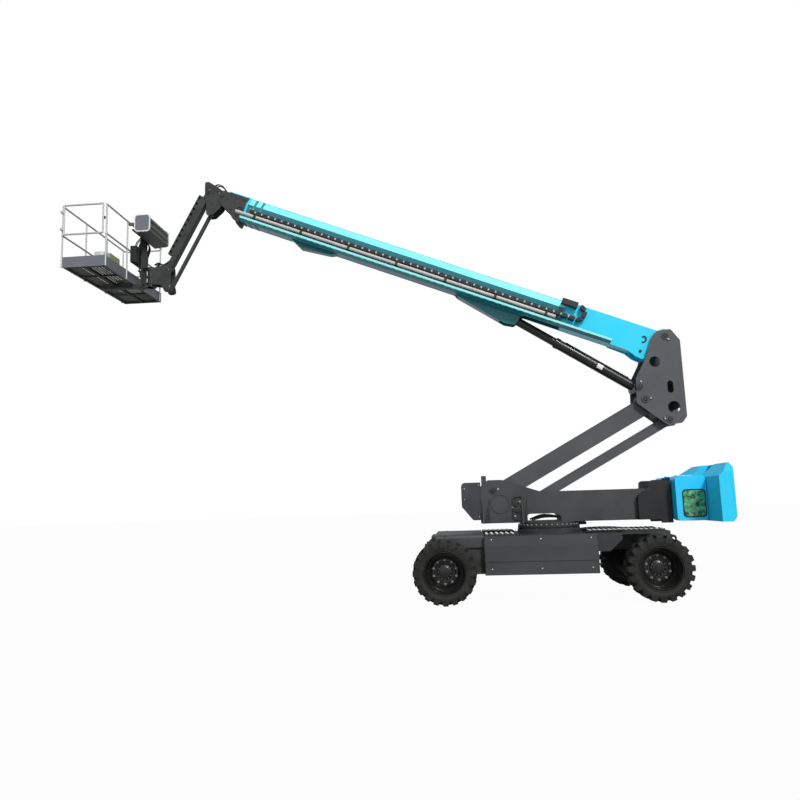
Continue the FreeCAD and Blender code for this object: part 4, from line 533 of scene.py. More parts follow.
cover_screws = [(SLEW_X + x, side * COVER_FACE, z)
                for x in (-1.045, -0.245, 0.555) for side in (-1, 1) for z in (0.532, 0.998)]
build("cover_screws", fixings(screw(0.014), cover_screws), zinc, "chassis")
hems = [block((SLEW_X + x - 0.004, SLEW_X + x + 0.004),
              sorted((side * (BAY_HALF - 0.0065), side * (BAY_HALF + 0.0015))), (0.445, 1.045))
        for x in (-1.150, 0.655) for side in (-1, 1)]
build("cover_hems", hems, axle_paint, "chassis", bevel=0.0015)
arch = [(SLEW_X + x, z) for x, z in ((-1.158, 0.450), (-1.158, 1.040), (-1.560, 1.040),
                                     (-1.560, 0.960), (-1.330, 0.560), (-1.290, 0.450))]
build("arch_plates", [side_prism(arch, side * 0.800, side * 0.812) for side in (-1, 1)],
      axle_paint, "chassis", bevel=0.002)

dimple = lathe([(0.021, -0.002), (0.019, 0.006), (0.012, 0.011), (0.009, 0.011),
                (0.009, 0.004)], 12)
dimple_rows = [(SLEW_X + x, side * y, DECK_TOP) for start, stop, columns in (
    (-1.105, -0.60, (0.855, 0.775, 0.695, 0.615, 0.535, 0.455, 0.375)),
    (0.64, 1.85, (0.395, 0.315, 0.235, 0.165)))
    for x in np.arange(start, stop, DIMPLE_PITCH) for y in columns for side in (-1, 1)]
build("tread_dimples", fixings([dimple], dimple_rows, "up"), pale_dimples, "chassis")

deck_hoses = [hose([
    (SLEW_X + 0.50, y * 0.72, 1.066), (SLEW_X + 0.75, y * 0.95, 1.078 + lift),
    (SLEW_X + 1.15, y, 1.080 + lift), (SLEW_X + 1.45, y * 0.96, 1.074),
    (SLEW_X + 1.63, y * 0.9, 1.062)], 0.011 + 0.002 * (index % 2))
    for index, (y, lift) in enumerate(((-0.60, 0.0), (-0.66, 0.012), (0.60, 0.004), (0.67, 0.014)))]
for side in (-1, 1):
    for route in (((1.28, 0.40, 0.92), (1.40, 0.52, 0.86), (1.50, 0.64, 0.72), (1.46, 0.70, 0.64)),
                  ((-1.45, 0.43, 0.90), (-1.55, 0.55, 0.86), (-1.72, 0.66, 0.70),
                   (-1.78, 0.72, 0.62))):
        deck_hoses.append(hose([(SLEW_X + x, side * y, z) for x, y, z in route], 0.013))
build("axle_hoses", deck_hoses, rubber_hose, "chassis")
valve_cover = lathe([(0.10, 0), (0.10, 0.016), (0.086, 0.026), (0.02, 0.028)], 40)
build("deck_valve_cover", [put(scaled(valve_cover, [2.2, 1, 1]), SLEW_X + 1.27, -0.62, 1.057)],
      axle_paint, "chassis")

drive_lip = lathe([(0.146, 0), (0.146, 0.010), (0.118, 0.010), (0.118, 0)], 48, closed=True)
for end, side, x, sign in WHEELS:
    bolts = [(x + DRIVE_CIRCLE * math.cos(a), sign * (DRIVE_FACE + 0.006),
              AXLE_HEIGHT + DRIVE_CIRCLE * math.sin(a))
             for a in np.arange(DRIVE_BOLTS) * 2 * math.pi / DRIVE_BOLTS]
    build(f"drive_flange_{end}_{side}",
          [facing(drive_lip, (x, sign * DRIVE_FACE, AXLE_HEIGHT), side)]
          + fixings(bolt(0.009), bolts), axle_paint,
          "chassis" if end == "front" else f"steering_{side}")


# ------------------------------------------------------------------ slewing bearing
# Two machined rings painted dark, the turning one bolted to the turret from above: a circle of
# bright bolt heads, a rubber seal between the rings and the drive's gearbox.

RING_CIRCLE, LOW_CIRCLE, RING_BOLTS = 0.512, 0.524, 36


def round_circle(count, radius, x, z, first=0.0):
    """Places evenly round an upright axis; `first` is a share of a step."""
    turns = (np.arange(count) + first) * 2 * math.pi / count
    return np.column_stack([x + radius * np.cos(turns), radius * np.sin(turns), np.full(count, z)])


ring_paint = finish("ring_paint", (40, 43, 44), dust=(96, 92, 82), dust_share=0.2, rough=0.36,
                    drift=0.2, grain=100, depth=0.1)
dress(ring_paint, "slew_ring_fixed", "slew_ring_turning")
ring_bolts = round_circle(RING_BOLTS, RING_CIRCLE, SLEW_X, 1.2005)
build("ring_bolts", fixings(bolt(0.013, 1.1), ring_bolts, "up"), zinc, "turret", smooth=30)
low_bolts = round_circle(RING_BOLTS, LOW_CIRCLE, SLEW_X, 1.142, 0.5)
build("ring_low_bolts", fixings(bolt(0.009, 0.6), low_bolts, "up"), ring_paint, "chassis",
      smooth=30)
seal = lathe([(0.5255, 1.160), (0.5305, 1.163), (0.5305, 1.180), (0.5255, 1.183)], 96, closed=True)
build("ring_seal", [put(seal, SLEW_X, 0, 0)], rubber_hose, "turret")
gearbox = lathe([(0.070, -0.05), (0.070, 0.012), (0.060, 0.020), (0.028, 0.022)], 36)
build("slew_gearbox", [put(gearbox, SLEW_X + 0.555, side * 0.07, 1.242) for side in (-1, 1)],
      ring_paint, "turret")


# ------------------------------------------------------------------ turret
# Two tall side plates on a floor plate, with folded gussets, an embossed round near the front, a
# bracket for the transport lock and pins held by bolted keepers. Dark satin paint.

PLATE_FACE = 0.310
TURRET_PINS = [(1.744, 1.815, PLATE_FACE, 0.15), (2.130, 1.449, PLATE_FACE, 2.4)]
turret_paint = finish("turret_paint", (50, 52, 55), dust=(118, 114, 106), dust_share=0.14,
                      patch=1.1, rough=0.42, drift=0.2, grain=90, depth=0.1)
pin_steel = finish("pin_steel", (46, 48, 50), dust=(104, 100, 90), dust_share=0.15, patch=14,
                   rough=0.36, drift=0.2, grain=100, depth=0.1, metal=0.3)
nose_paint = finish("nose_plastic", (44, 47, 54), dust=(120, 118, 112), dust_share=0.12, patch=2,
                    rough=0.4, grain=140)
dress(turret_paint, "turret_frame")
dress(nose_paint, "nose_cover")


def keeper(x, z, face, angle, scale=1.0):
    """Round pin head, a strap from it and the bolt that holds the strap, on a near-side plate."""
    along = np.array([math.cos(angle), math.sin(angle)])
    across = np.array([-along[1], along[0]])
    corners = np.array([(0.020, -0.024), (0.112, -0.019), (0.112, 0.019), (0.020, 0.024)])
    strap = side_prism(corners @ [along, across] * scale + [x, z], -face - 0.012 * scale,
                       -face + 0.001)
    head = scaled(lathe([(0.047, 0), (0.047, 0.022), (0.039, 0.029), (0.010, 0.029)], 30), scale)
    centre = (x + along[0] * 0.088 * scale, -face - 0.012 * scale, z + along[1] * 0.088 * scale)
    return ([strap, facing(head, (x, -face, z), "near")],
            fixings(bolt(0.0135 * scale, 0.9), [centre]))


def pin_sets(name, pins, body, scale=1.0):
    """Heads, straps and bolts on both sides of the machine for pins (x, z, face, angle)."""
    straps, bolts = [], []
    for pin in pins:
        for kept, shells in zip((straps, bolts), keeper(*pin, scale)):
            kept += shells + [scaled(shell, [1, -1, 1]) for shell in shells]
    build(name + "_heads", straps, axle_paint, body, bevel=0.0015)
    build(name + "_bolts", bolts, zinc, body, smooth=30)


def rounded(x0, x1, z0, z1, radius, steps=8):
    """A rectangle of (x, z) points with a quarter circle at each corner, anticlockwise."""
    turns = np.linspace(0, math.pi / 2, steps)
    quarter = np.column_stack([np.cos(turns), np.sin(turns)]) * radius
    spins = [(1, 1, x1, z1), (-1, 1, x0, z1), (-1, -1, x0, z0), (1, -1, x1, z0)]
    bits = []
    for index, (sx, sz, x, z) in enumerate(spins):
        bit = quarter * [sx, sz] + [x - sx * radius, z - sz * radius]
        bits.append(bit if index % 2 == 0 else bit[::-1])
    return np.vstack(bits)


def frame_of(outer, inner, low, high):
    """A flat frame between two outlines of equal count, across the machine from low to high."""
    count = len(outer)
    rings = [np.column_stack([o[:, 0], np.full(count, y), o[:, 1]])
             for o, y in ((outer, low), (outer, high), (inner, high), (inner, low))]
    return np.vstack(rings), [grid_faces(4, count, True, True)]


pin_sets("turret_pin", TURRET_PINS, "turret")
emboss = lathe([(0.150, 0), (0.154, 0.009), (0.163, 0.009), (0.168, 0)], 72, closed=True)
build("turret_emboss", fixings([emboss], [(SLEW_X - 0.838, side * PLATE_FACE, 1.571)
                                          for side in (-1, 1)]), turret_paint, "turret")
# The gussets take the darker axle paint as painted shade.
gussets = [side_prism([(SLEW_X + x, 1.255), (SLEW_X + x + wide, 1.255), (SLEW_X + x + wide, top)],
                      side * PLATE_FACE, side * (PLATE_FACE + 0.014))
           for x, wide, top in ((-1.105, 0.085, 1.665), (-0.425, 0.045, 1.700)) for side in (-1, 1)]
build("turret_gussets", gussets, axle_paint, "turret", bevel=0.002)
lock_out = rounded(SLEW_X - 0.630, SLEW_X - 0.440, 1.290, 1.700, 0.06)
lock_in = rounded(SLEW_X - 0.612, SLEW_X - 0.458, 1.308, 1.682, 0.045)
lock_pad = rounded(SLEW_X - 0.600, SLEW_X - 0.470, 1.30, 1.69, 0.04)
lock = [frame_of(lock_out, lock_in, side * PLATE_FACE, side * (PLATE_FACE + 0.028))
        for side in (-1, 1)]
lock += [side_prism(lock_pad, side * PLATE_FACE, side * (PLATE_FACE + 0.004)) for side in (-1, 1)]
build("transport_lock", lock, pin_steel, "turret", bevel=0.002)
lock_boss = lathe([(0.052, 0), (0.052, 0.030), (0.040, 0.036), (0.022, 0.036), (0.022, 0.010)], 32)
lock_bar = side_prism(rounded(SLEW_X - 0.560, SLEW_X - 0.512, 1.43, 1.55, 0.02),
                      -PLATE_FACE - 0.022, -PLATE_FACE)
build("lock_boss", fixings([lock_boss], [(SLEW_X - 0.536, -PLATE_FACE, z) for z in (1.46, 1.56)])
      + [lock_bar], axle_paint, "turret")
build("lock_bolts", fixings(bolt(0.013, 0.9), [
    (SLEW_X + x, -PLATE_FACE - 0.004, z) for x, z in ((-0.505, 1.60), (-0.590, 1.36))]),
    zinc, "turret")
nose_screws = [(SLEW_X + x, side * 0.300, z) for x, z in (
    (-1.445, 1.66), (-1.445, 1.85), (-1.20, 1.905), (-1.20, 1.36)) for side in (-1, 1)]
build("nose_screws", fixings(screw(0.010), nose_screws), zinc, "turret")
turret_hoses = [hose([
    (SLEW_X - 0.30, y, 1.285), (SLEW_X - 0.05, y * 0.9, 1.33 + 0.01 * k),
    (SLEW_X + 0.35, y * 0.8, 1.31), (SLEW_X + 0.9, y, 1.30 + 0.012 * k),
    (SLEW_X + 1.4, y * 1.05, 1.34)], 0.014) for k, y in enumerate((-0.22, -0.17, 0.16, 0.21))]
build("turret_hoses", turret_hoses, rubber_hose, "turret")


# ------------------------------------------------------------------ housings and hoods
# Black moulded boxes for valves and ground controls, and behind them two blow-moulded hoods in the
# boom's blue, each with a dark glossy inspection panel let into its face.

HOOD_FACE = 0.6195
black_plastic = finish("black_plastic", (9, 12, 14), dust=(62, 62, 58), dust_share=0.12, patch=3,
                       rough=0.44, drift=0.18, grain=300, depth=0.25)
hood_plastic = finish("hood_plastic", (18, 200, 250), dust=(170, 190, 190), dust_share=0.08,
                      patch=2, rough=0.34, drift=0.12, grain=140, depth=0.08, coat=0.25)
# Big pale green patches cover most of the dark green panel.
dark_panel = finish("dark_panel", (6, 34, 28), dust=(110, 225, 160), dust_share=0.85, patch=15,
                    rough=0.06, drift=0.10, depth=0.02, coat=0.8)
dress(black_plastic, "housings")
dress(hood_plastic, "hood_near", "hood_far")
panel_edge = rounded(SLEW_X + 2.140, SLEW_X + 2.490, 1.283, 1.717, 0.05)
panel_rim = (rounded(SLEW_X + 2.128, SLEW_X + 2.502, 1.271, 1.729, 0.06),
             rounded(SLEW_X + 2.146, SLEW_X + 2.484, 1.289, 1.711, 0.045))
for side, name in SIDES:
    panel = side_prism(panel_edge, side * HOOD_FACE, side * (HOOD_FACE + 0.005))
    build(f"hood_panel_{name}", [panel], dark_panel, f"hood_{name}_body", bevel=0.003)
    build(f"hood_panel_rim_{name}",
          [frame_of(*panel_rim, side * HOOD_FACE, side * (HOOD_FACE + 0.009))], black_plastic,
          f"hood_{name}_body", bevel=0.002)


# ------------------------------------------------------------------ counterweight
# One iron casting across the tail, painted over its sand-cast skin, with a notch for the riser and
# big bolt heads inside the notch.

cast_paint = finish("cast_paint", (16, 200, 244), dust=(120, 190, 200), patch=1.6, rough=0.52,
                    grain=34, depth=0.45)
dress(cast_paint, "counterweight")
tail_bolts = [(SLEW_X + 2.8985, y, z) for y in (-0.22, 0.22) for z in (1.45, 1.85)]
build("tail_bolts", fixings(bolt(0.026), tail_bolts, "front"), pin_steel, "turret")


# ------------------------------------------------------------------ riser and upright
# Two welded box beams between the turret and the upright, with pins held by bolted keepers; the
# upright is two flame-cut plates with a web. Satin grey paint, weld beads shown.

UPRIGHT_FACE = 0.250
RISER_RISE = 28.9
riser_paint = finish("riser_paint", (64, 66, 69), dust=(126, 124, 118), dust_share=0.13, patch=1.0,
                     rough=0.42, drift=0.18, grain=80, depth=0.1)
upright_paint = finish("upright_paint", (66, 70, 75), dust=(128, 126, 120), dust_share=0.13,
                       patch=1.2, rough=0.40, drift=0.18, grain=80, depth=0.1)
dress(riser_paint, "riser_arm", "riser_link")
dress(upright_paint, "upright")
pin_sets("upright_pin", [(4.449, 3.308, UPRIGHT_FACE, 0.05), (4.835, 2.942, UPRIGHT_FACE, 3.1),
                         (4.865, 4.413, UPRIGHT_FACE, -1.0), (4.370, 3.528, UPRIGHT_FACE, 1.35)],
         "upright_body")


def on_beam(foot, degrees, body):
    """Builder of objects drawn along a beam from its foot pin: x towards the tail, z square to it.

    The beam's forward end is raised by the angle, so its own x and z are turned about Y by it.
    """
    c, s = math.cos(math.radians(degrees)), math.sin(math.radians(degrees))

    def build_on(name, shells, material, rides=body, **more):
        """One object drawn in the beam's own lengths."""
        return build(name, [moved(shell, lambda p: np.column_stack([
            p[:, 0] * c + p[:, 2] * s, p[:, 1], -p[:, 0] * s + p[:, 2] * c]) + foot)
            for shell in shells], material, rides, **more)
    return build_on


def beam(places, y, z, radius, steps=8, **more):
    """Straight round bar or weld bead along x through several places."""
    return tube([(x, y, z) for x in places], radius, steps, **more)


for name, pin, places, half, heights, radius in (
        ("arm", TURRET_PINS[0], (0.12, 1.5, 2.97), 0.151, (0.046, -0.244), 0.005),
        ("link", TURRET_PINS[1], (0.10, 1.5, 2.99), 0.121, (0.063, -0.088), 0.004)):
    beads = [beam(places, side * half, z, radius) for side in (-1, 1) for z in heights]
    on_beam((pin[0], 0, pin[1]), -RISER_RISE, f"riser_{name}_body")(
        f"{name}_welds", beads, riser_paint)


# ------------------------------------------------------------------ boom
# Three nested six-sided tubes folded and welded from sheet, in blue gloss paint, with cheek plates
# at the pivot. Forward of the cheeks the outer tube carries painted light: a pale painted highlight
# on its top folds and deep teal painted shade on its sides. Wear pads, pad bolts, weld beads and
# bands round the front are fixed on.

PIVOT = np.array([4.865185, 0, 4.413343])
BOOM_TILT, BOOM_FRONT = 22, 8.050
CHEEK_FACE, SHOULDER_HALF, SHOULDER, UNDERSIDE = 0.164, 0.150, -0.070, -0.420
boom_build = on_beam(PIVOT, BOOM_TILT, "boom")
boom_paint = finish("boom_paint", (20, 214, 250), dust=(120, 214, 222), patch=1.1, rough=0.26,
                    drift=0.12, grain=60, depth=0.06, coat=0.6)
# Deep teal painted shade: a shaded copy of the boom's blue, used on the chain tray and the bands
# round the boom's front.
painted_shade_teal = finish("painted_shade_teal", (8, 128, 138), dust=(120, 170, 170), patch=2, rough=0.4, grain=60,
                   depth=0.08)


def along_boom(tree, place, along, lowest, highest):
    """Node giving 0 to 1 between two distances along a direction square to or along the boom."""
    offset = float(np.dot(along, PIVOT))
    distance = node(tree, "VectorMath", {1: along}, operation="DOT_PRODUCT")
    share = node(tree, "MapRange", {"From Min": lowest + offset, "From Max": highest + offset})
    wire(tree, (place, "Object", distance, 0), (distance, "Value", share, "Value"))
    return share


def sun_and_shade_paint():
    """The boom's blue with painted light forward of the cheeks: a pale painted highlight on the top
    folds and deep teal painted shade on the sides.
    """
    made = boom_paint.copy()
    made.name = "boom_sun_and_shade_paint"
    tree = made.node_tree
    c, s = math.cos(math.radians(BOOM_TILT)), math.sin(math.radians(BOOM_TILT))
    place = node(tree, "TexCoord")
    lit_fold_mask = along_boom(tree, place, (s, 0, c), SHOULDER - 0.004, SHOULDER + 0.002)
    ahead = along_boom(tree, place, (-c, 0, s), 1.74, 1.80)
    # Deep teal painted shade below the shoulder and a pale painted highlight on the top folds.
    lit_and_shaded_tone = node(tree, "Mix", data_type="RGBA")
    lit_and_shaded_tone.inputs["A"].default_value = linear(4, 112, 124)
    lit_and_shaded_tone.inputs["B"].default_value = linear(126, 236, 238)
    blend = node(tree, "Mix", data_type="RGBA")
    wear = next(part for part in tree.nodes if part.type == "GROUP")
    wire(tree, (lit_fold_mask, "Result", lit_and_shaded_tone, "Factor"), (ahead, "Result", blend, "Factor"),
         (wear, "Color", blend, "A"), (lit_and_shaded_tone, "Result", blend, "B"),
         (blend, "Result", tree.nodes["Principled BSDF"], "Base Color"))
    return made


head_paint = finish("head_paint", (36, 39, 41), dust=(116, 112, 104), dust_share=0.18, patch=3,
                    drift=0.2, grain=90, depth=0.12)
pad_plastic = finish("pad_plastic", (30, 34, 34), dust=(80, 84, 84), dust_share=0.15, patch=10,
                     drift=0.1)
dress(sun_and_shade_paint(), "boom_outer")
dress(boom_paint, "boom_mid", "boom_fly")
# The chain tray is dressed in the deep teal painted shade.
dress(painted_shade_teal, "chain_tray")
dress(head_paint, "boom_head")

beads = [beam(places, side * half, z, 0.004) for places, half, z in (
    ((-0.34, -4.0, -8.04), 0.119, -0.4195), ((-1.83, -5.0, -8.04), 0.0935, 0.0620))
    for side in (-1, 1)]
boom_build("boom_seams", beads, boom_paint)
boss_ring = lathe([(0.121, 0), (0.133, 0.004), (0.137, 0)], 60)
boom_build("boom_boss_welds", fixings([boss_ring], [(0, side * CHEEK_FACE, 0)
                                                    for side in (-1, 1)]), boom_paint)
pad_bolts = [(-x, side * (0.118 + (0.42 + z) * 0.0914 - 0.001), z)
             for x in (7.93, 7.99) for z in (-0.36, -0.25, -0.14) for side in (-1, 1)]
boom_build("pad_bolts", fixings(bolt(0.0115, 0.6), pad_bolts), zinc, smooth=30)
pads = [block((-BOOM_FRONT - 0.004, -BOOM_FRONT + 0.020), (-0.085, 0.085), (0.060, 0.072)),
        block((-BOOM_FRONT - 0.003, -BOOM_FRONT + 0.020), (-0.105, 0.105), (-0.432, -0.418))]
boom_build("wear_pads", pads, pad_plastic, bevel=0.002)
boom_build("cheek_bolts", fixings(bolt(0.022), [(-0.300, side * CHEEK_FACE, -0.385)
                                                for side in (-1, 1)]), pin_steel, smooth=30)
hook = [(-0.355, -0.12), (-0.310, -0.095), (-0.270, -0.115), (-0.255, -0.17), (-0.280, -0.22),
        (-0.325, -0.235), (-0.325, -0.210), (-0.298, -0.200), (-0.282, -0.170), (-0.295, -0.138),
        (-0.318, -0.125), (-0.345, -0.145)]
boom_build("cheek_hooks", [side_prism(hook, side * (CHEEK_FACE - 0.001), side * 0.176)
                           for side in (-1, 1)], pin_steel, bevel=0.002)
section = np.array([(-0.092, 0.062), (0.092, 0.062), (SHOULDER_HALF, SHOULDER),
                    (0.118, UNDERSIDE), (-0.118, UNDERSIDE), (-SHOULDER_HALF, SHOULDER)])
grown = np.array([(-0.096, 0.068), (0.096, 0.068), (0.156, -0.070), (0.123, -0.427),
                  (-0.123, -0.427), (-0.156, -0.070)])
bands = [moved(frame_of(grown, section * 0.99, -x - 0.045, -x), lambda p: p[:, [1, 0, 2]])
         for x in (7.760, 7.900)]
# The bands are in the deep teal painted shade.
boom_build("boom_bands", bands, painted_shade_teal, bevel=0.002)


# ------------------------------------------------------------------ drag chain, tray and conduit
# Moulded black chain links on pale joints lie above a folded tray in deep teal painted shade, with
# slots in its floor drawn as pale blue painted light and a lip and rim in pale painted highlight;
# the hoses leave it through a pale conduit that travels with the middle section.

LINKS, LINK_PITCH, CHAIN_START, CHAIN_LOW = 47, 0.136, 1.618, -0.227
TRAY_Y, TRAY_TAIL, TRAY_FRONT = -0.312, -0.845, -8.045
chain_plastic = finish("chain_plastic", (18, 20, 21), dust=(98, 96, 90), dust_share=0.22, patch=9,
                       drift=0.2, grain=200, depth=0.2)
conduit_grey = finish("conduit_grey", (196, 188, 186), dust=(150, 146, 140), dust_share=0.25,
                      rough=0.45)
# Pale blue painted light: the light seen through the tray's slots, drawn as thin plates in its
# floor.
slot_painted_light = finish("slot_painted_light", (150, 244, 255), dust=(150, 190, 190), patch=6, rough=0.35,
                   drift=0.1)
# Pale painted highlight for the tray's sunlit lip and rim.
lit_edge_highlight = finish("lit_edge_highlight", (150, 238, 232), dust=(150, 190, 190), patch=6, rough=0.35,
                   drift=0.1)
dress(chain_plastic, "drag_chain")
chain_x = [-(CHAIN_START + LINK_PITCH * i) for i in range(LINKS)]
link_plate = side_prism(rounded(-0.046, 0.046, -0.024, 0.024, 0.018, 5), -0.2885, -0.284)
joint_pin = facing(lathe([(0.016, 0), (0.016, 0.006), (0.011, 0.009), (0.006, 0.009)], 16),
                   (-0.068, -0.2855, 0), "near")
bridge = block((-0.086, -0.050), (-0.280, -0.190), (-0.018, 0.018))
boom_build("chain_plates", [put(link_plate, x, 0, CHAIN_LOW) for x in chain_x], chain_plastic,
           bevel=0.004)
boom_build("chain_joints", [put(shell, x, 0, CHAIN_LOW) for x in chain_x[:-1]
                            for shell in (bridge, joint_pin)], conduit_grey)
# Each slot is a thin plate in the pale blue painted light.
slot = prism(rounded(-0.036, 0.036, -0.017, 0.017, 0.016, 5), -0.4220, -0.4195)
boom_build("tray_slots", [put(slot, x, TRAY_Y, 0) for x in -np.arange(1.75, 7.95, LINK_PITCH)],
           slot_painted_light)
# The lip and the rim take the pale painted highlight.
boom_build("tray_lip", [block((TRAY_FRONT, TRAY_TAIL), (-0.3362, -0.3280), (-0.3835, -0.3800))],
           lit_edge_highlight)
boom_build("tray_rim", [block((TRAY_FRONT, TRAY_TAIL), (-0.3365, -0.3352), (-0.4190, -0.3815))],
           lit_edge_highlight)
conduit = beam((-1.901, -5.0, -8.169), -0.300, -0.315, 0.0312, 20)
boom_build("conduit_tube", [conduit], conduit_grey, "boom_mid_body")
clips = [block((x, x + 0.05), (-0.334, -0.262), (-0.349, -0.281))
         for x in -np.arange(2.1, 8.0, 0.95)]
boom_build("conduit_clips", clips, pin_steel, "boom_mid_body", bevel=0.004)
ribs = [block((-1.875, -1.60), (-0.2875, -0.2845), (z, z + 0.012)) for z in (-0.024, 0.004, 0.032)]
boom_build("chain_holder_ribs", ribs, pin_steel, bevel=0.002)


# ------------------------------------------------------------------ lift cylinder
# Black painted double-acting cylinder: honed tube, screwed gland with its wiper, rod in a black
# sleeve, an oil line along the near side held by straps, and a blank identity plate.

LINE_LEAN = math.radians(40)
RAM_SKIN = 0.0895
ram_build = on_beam(np.array([4.370185, 0, 3.528343]), 33.1785, "cylinder_barrel")
cylinder_paint = finish("cylinder_paint", (14, 17, 17), dust=(56, 56, 52), dust_share=0.08, patch=4,
                        rough=0.26, drift=0.2, grain=90, depth=0.08, coat=0.3)
plate_blank = finish("blank_plate", (226, 230, 228), dust=(150, 148, 140), dust_share=0.2, patch=20,
                     rough=0.4, drift=0.1)
dress(cylinder_paint, "lift_barrel", "lift_rod")


def along_x(shell, x):
    """A lathed shell laid along x, starting at a place."""
    return put(moved(shell, lambda p: p[:, [2, 1, 0]]), x, 0, 0)


def leaned(shell):
    """A shell drawn on the cylinder's top, turned about its axis towards the near side."""
    c, s = math.cos(LINE_LEAN), math.sin(LINE_LEAN)
    return moved(shell, lambda p: p @ np.array([[1, 0, 0], [0, c, s], [0, -s, c]]))


gland = lathe([(0.0785, -0.004), (0.092, 0.0), (0.0985, 0.006), (0.0985, 0.030), (0.094, 0.034),
               (0.094, 0.040), (0.0985, 0.044), (0.0985, 0.074), (0.092, 0.080), (0.0785, 0.080)],
              64, closed=True)
ram_build("gland_rings", [along_x(gland, -1.650)], cylinder_paint)
oil_line = hose([(-0.22, 0, 0.088), (-0.26, 0, 0.100), (-0.40, 0, 0.102), (-1.10, 0, 0.102),
                 (-1.38, 0, 0.102), (-1.44, 0, 0.097), (-1.45, 0, 0.086)], 0.009, 10)
ram_build("oil_line", [leaned(oil_line)], cylinder_paint)
strap = lathe([(RAM_SKIN, 0), (0.0930, 0), (0.0930, 0.022), (RAM_SKIN, 0.022)], 48, closed=True)
ram_build("oil_line_straps", [along_x(strap, x) for x in (-0.55, -0.95, -1.30)], pin_steel)
port = lathe([(0.022, 0), (0.022, 0.018), (0.016, 0.022)], 16)
ram_build("oil_ports", [leaned(put(port, x, 0, 0.088)) for x in (-0.24, -1.45)], pin_steel)
wrap = np.linspace(-0.48, 0.48, 9)
arc = np.column_stack([-np.cos(wrap), np.sin(wrap)])
plate = moved(prism(np.vstack([arc * 0.0920, arc[::-1] * RAM_SKIN]), -0.80, -0.69),
              lambda p: p[:, [2, 0, 1]])
ram_build("cylinder_plate", [plate], plate_blank)


# ------------------------------------------------------------------ nose and jib
# Dark painted head parts: levelled nose bracket, box jib with its perforated hose guard, slender
# levelling link and the jib head. Pins have keepers; hoses loop round the knuckle between plates.

PIN_SCALE, HEAD_FACE, JIB_FACE = 0.62, 0.134, 0.112
GUARD_HOLES, GUARD_START, GUARD_END = 11, 0.120, 1.420
ROTATOR_X = -4.566988
jib_build = on_beam(np.array([-3.444142, 0, 7.694838]), -62.1, "jib")
jib_paint = finish("jib_paint", (34, 36, 37), dust=(112, 110, 104), dust_share=0.16, patch=4,
                   rough=0.44, drift=0.2, grain=100, depth=0.12)
dress(jib_paint, "nose_bracket", "jib_arm", "jib_guard", "jib_link", "jib_head")

knuckle_hoses = [hose([
    (-3.06, y, 7.56), (-3.11, y, 7.71 + lift), (-3.18, y, 7.81 + lift), (-3.26, y, 7.845 + lift),
    (-3.335, y, 7.815 + lift)], 0.0105, 10, across=(0.02, 1, 0.03))
    for y, lift in ((-0.055, 0), (-0.020, 0.012), (0.020, 0), (0.055, 0.012))]
build("knuckle_hoses", knuckle_hoses, rubber_hose, "nose")
front_loop = hose([
    (-8.02, -0.16, -0.33), (-8.06, -0.20, -0.30), (-8.12, -0.215, -0.21), (-8.19, -0.19, -0.20),
    (-8.23, -0.165, -0.28), (-8.20, -0.155, -0.36)], 0.010, 10, across=(0.1, 1, 0.1))
boom_build("front_hose_loop", [front_loop], rubber_hose, "boom_mid_body")
head_bolts = [(-x, side * HEAD_FACE, z) for x, z in (
    (8.16, -0.02), (8.16, -0.20), (8.16, -0.38), (8.34, -0.02), (8.34, -0.26), (8.50, -0.10))
    for side in (-1, 1)]
boom_build("head_bolts", fixings(bolt(0.013, 0.6), head_bolts), pin_steel, "boom_fly_body",
           smooth=30)
pin_sets("nose_pin", [(-3.155, 7.600, HEAD_FACE, 2.6)], "boom_fly_body", PIN_SCALE)
pin_sets("jib_foot_pin", [(-3.444, 7.695, JIB_FACE, 0.5)], "nose", PIN_SCALE)
pin_sets("jib_tip_pin", [(-4.227, 6.216, JIB_FACE, -0.9), (-4.193, 5.792, JIB_FACE, 1.2)],
         "jib_tip", PIN_SCALE)
eyelet = lathe([(0.0235, 0), (0.0285, 0), (0.0285, 0.0035), (0.0235, 0.0035)], 20, closed=True)
hole_pitch = (GUARD_END - GUARD_START) / GUARD_HOLES
eyelets = [(-GUARD_START - hole_pitch * (i + 0.5), side * 0.072, 0.106)
           for i in range(GUARD_HOLES) for side in (-1, 1)]
jib_build("guard_eyelets", fixings([eyelet], eyelets), jib_paint)
jib_hoses = [tube([(-0.135, y, 0.075), (-0.7, y, 0.078), (-1.405, y, 0.075)], 0.011, 10)
             for y in (-0.045, -0.015, 0.015, 0.045)]
jib_build("jib_hoses", jib_hoses, rubber_hose)
jib_build("jib_welds", [beam((-0.07, -0.8, -1.60), side * 0.0725, -0.049, 0.003)
                        for side in (-1, 1)], jib_paint)
tip_hoses = [hose([
    (-4.13, y, 6.42), (-4.22, y, 6.36), (-4.33, y, 6.30), (-4.42, y, 6.34), (-4.50, y * 1.3, 6.30)],
    0.010, 10, across=(0.05, 1, 0.05)) for y in (-0.05, -0.02, 0.02, 0.05)]
build("jib_tip_hoses", tip_hoses, rubber_hose, "jib_tip")
turner_ring = lathe([(0.0885, 0), (0.0965, 0.004), (0.0965, 0.030), (0.0885, 0.034)], 56,
                    closed=True)
build("rotator_rings", [put(turner_ring, ROTATOR_X, 0, z) for z in (5.93, 6.05, 6.19)],
      head_paint, "jib_tip")


# ------------------------------------------------------------------ platform
# Welded tubular cage on a steel floor tray: punched floor plate on a dark centre beam, pressed toe
# board, galvanised rails bent at the far corners and a gate with its latch at the near end.

